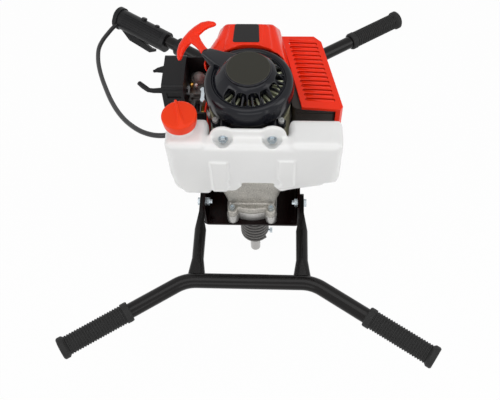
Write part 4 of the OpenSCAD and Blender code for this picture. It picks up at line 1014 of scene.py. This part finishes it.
def makeIntakePlate(name):
    bm = bmesh.new()
    addBox(bm, *intakePlates[name])
    bmesh.ops.bevel(bm, geom=list(bm.edges), offset=intakePlates["edge"] / 1000, segments=3,
                    affect="EDGES", profile=0.5)
    addPiece(name, finished(name, bm), "blackPlastic", "frame")


for plateName in ("intakeBracket", "shadeSheet"):
    makeIntakePlate(plateName)

carbTop = 0.334  # of the carburettor's body
carbScrews = {  # upright on the carburettor's top: place across and back, radius, height and finish
    "mixtureScrew": (-102.5, 85.5, 3.4, 11, "brassTurned"),
    "idleScrew": (-95, 86, 2.9, 8.5, "screwZinc"),
}


def makeCarbScrew(name):
    x, y, radius, height, finish = carbScrews[name]
    bm = bmesh.new()
    neck = radius * 0.62
    profile = ((0, -1), (neck, -1), (neck, height * 0.4), (radius, height * 0.45), (radius, height * 0.93),
               (radius * 0.85, height), (0, height))
    addLathe(bm, profile, (x / 1000, y / 1000, carbTop), segments=32)
    addPiece(name, finished(name, bm), finish, "frame")


for screwName in carbScrews:
    makeCarbScrew(screwName)

barCollar = {  # clamp on the rear bar beside the throttle handle
    "place": (-0.161, 0.3293, 0.184), "turn": 146.5,
    "profile": ((12.55, -6.5), (17.8, -6.5), (18.6, -5.7), (18.6, 5.7), (17.8, 6.5), (12.55, 6.5)),
}


def makeBarCollar():
    bm = bmesh.new()
    addLathe(bm, barCollar["profile"], (0, 0, 0), segments=48)
    turn = Matrix.Rotation(math.radians(barCollar["turn"]), 4, "Z") @ Matrix.Rotation(math.pi / 2, 4, "Y")
    bm.transform(Matrix.Translation(barCollar["place"]) @ turn)
    addPiece("barCollar", plainMesh("barCollar", bm), "blackPlastic", "frame")


makeBarCollar()
print("trim done")


# studio

studio = {"floorZ": -0.068, "floorSize": 6, "worldLevel": 0.42, "floorGlow": 0.96}


def makeFloor():
    bm = bmesh.new()
    bmesh.ops.create_grid(bm, x_segments=1, y_segments=1, size=studio["floorSize"])
    mesh = plainMesh("floor", bm)
    mesh.transform(Matrix.Translation((0, 0, studio["floorZ"])))
    floor = bpy.data.objects.new("floor", mesh)
    scene.collection.objects.link(floor)
    paint = Paint("floorPaper")
    rays = paint.node("ShaderNodeLightPath")
    seen = Wire(paint, rays.socket.node.outputs["Is Camera Ray"])
    mirrored = Wire(paint, rays.socket.node.outputs["Is Glossy Ray"])
    through = Wire(paint, rays.socket.node.outputs["Is Transmission Ray"])
    paint.finish({"Base Color": (0.85, 0.85, 0.85, 1), "Roughness": 0.9})
    glow = paint.node("ShaderNodeEmission", {}, {"Color": (1, 1, 1, 1), "Strength": 1.0})
    look = paint.node("ShaderNodeMixShader", {}, {
        0: (seen + mirrored + through).clamped() * studio["floorGlow"],
        1: Wire(paint, paint.shader.outputs[0]), 2: glow})
    paint.tree.links.new(look.socket, paint.tree.nodes["Material Output"].inputs["Surface"])
    mesh.materials.append(paint.material)


def makeWorld():
    world = bpy.data.worlds.new("studio")
    world.use_nodes = True
    scene.world = world
    tree = world.node_tree
    light = tree.nodes["Background"]
    light.inputs["Color"].default_value = (1, 1, 1, 1)
    light.inputs["Strength"].default_value = studio["worldLevel"]
    paper = tree.nodes.new("ShaderNodeBackground")
    paper.inputs["Color"].default_value = (1, 1, 1, 1)
    paper.inputs["Strength"].default_value = 1.0
    rays = tree.nodes.new("ShaderNodeLightPath")
    choose = tree.nodes.new("ShaderNodeMixShader")
    shown = rays.outputs["Is Camera Ray"]
    for kind in ("Is Glossy Ray", "Is Transmission Ray"):
        both = tree.nodes.new("ShaderNodeMath")
        both.use_clamp = True
        tree.links.new(shown, both.inputs[0])
        tree.links.new(rays.outputs[kind], both.inputs[1])
        shown = both.outputs[0]
    tree.links.new(shown, choose.inputs[0])
    tree.links.new(light.outputs[0], choose.inputs[1])
    tree.links.new(paper.outputs[0], choose.inputs[2])
    tree.links.new(choose.outputs[0], tree.nodes["World Output"].inputs["Surface"])


lamps = {
    "overhead": {"place": (0.1, -0.2, 1.9), "aim": (0, 0, 0.25), "size": (1.6, 1.0), "power": 7.8},
    "left": {"place": (-1.5, -0.6, 1.0), "aim": (0, 0, 0.3), "size": (0.6, 1.4), "power": 7},
    "right": {"place": (1.5, -0.3, 1.1), "aim": (0, 0, 0.3), "size": (0.6, 1.4), "power": 6},
    "strip": {"place": (0.75, -0.9, 0.45), "aim": (0.09, -0.1, 0.18), "size": (0.12, 0.9), "power": 0.7},
    "front": {"place": (0.1, -1.6, 0.8), "aim": (0, 0, 0.25), "size": (1.6, 0.7), "power": 4.8},
}


def makeLamps():
    for name, lamp in lamps.items():
        data = bpy.data.lights.new(name, "AREA")
        data.shape = "RECTANGLE"
        data.size, data.size_y = lamp["size"]
        data.energy = lamp["power"]
        light = bpy.data.objects.new(name, data)
        scene.collection.objects.link(light)
        light.location = lamp["place"]
        beam = Vector(lamp["aim"]) - Vector(lamp["place"])
        light.rotation_euler = beam.to_track_quat("-Z", "Y").to_euler()


makeFloor()
makeWorld()
makeLamps()
scene.view_settings.view_transform = "Standard"
print("studio lit")
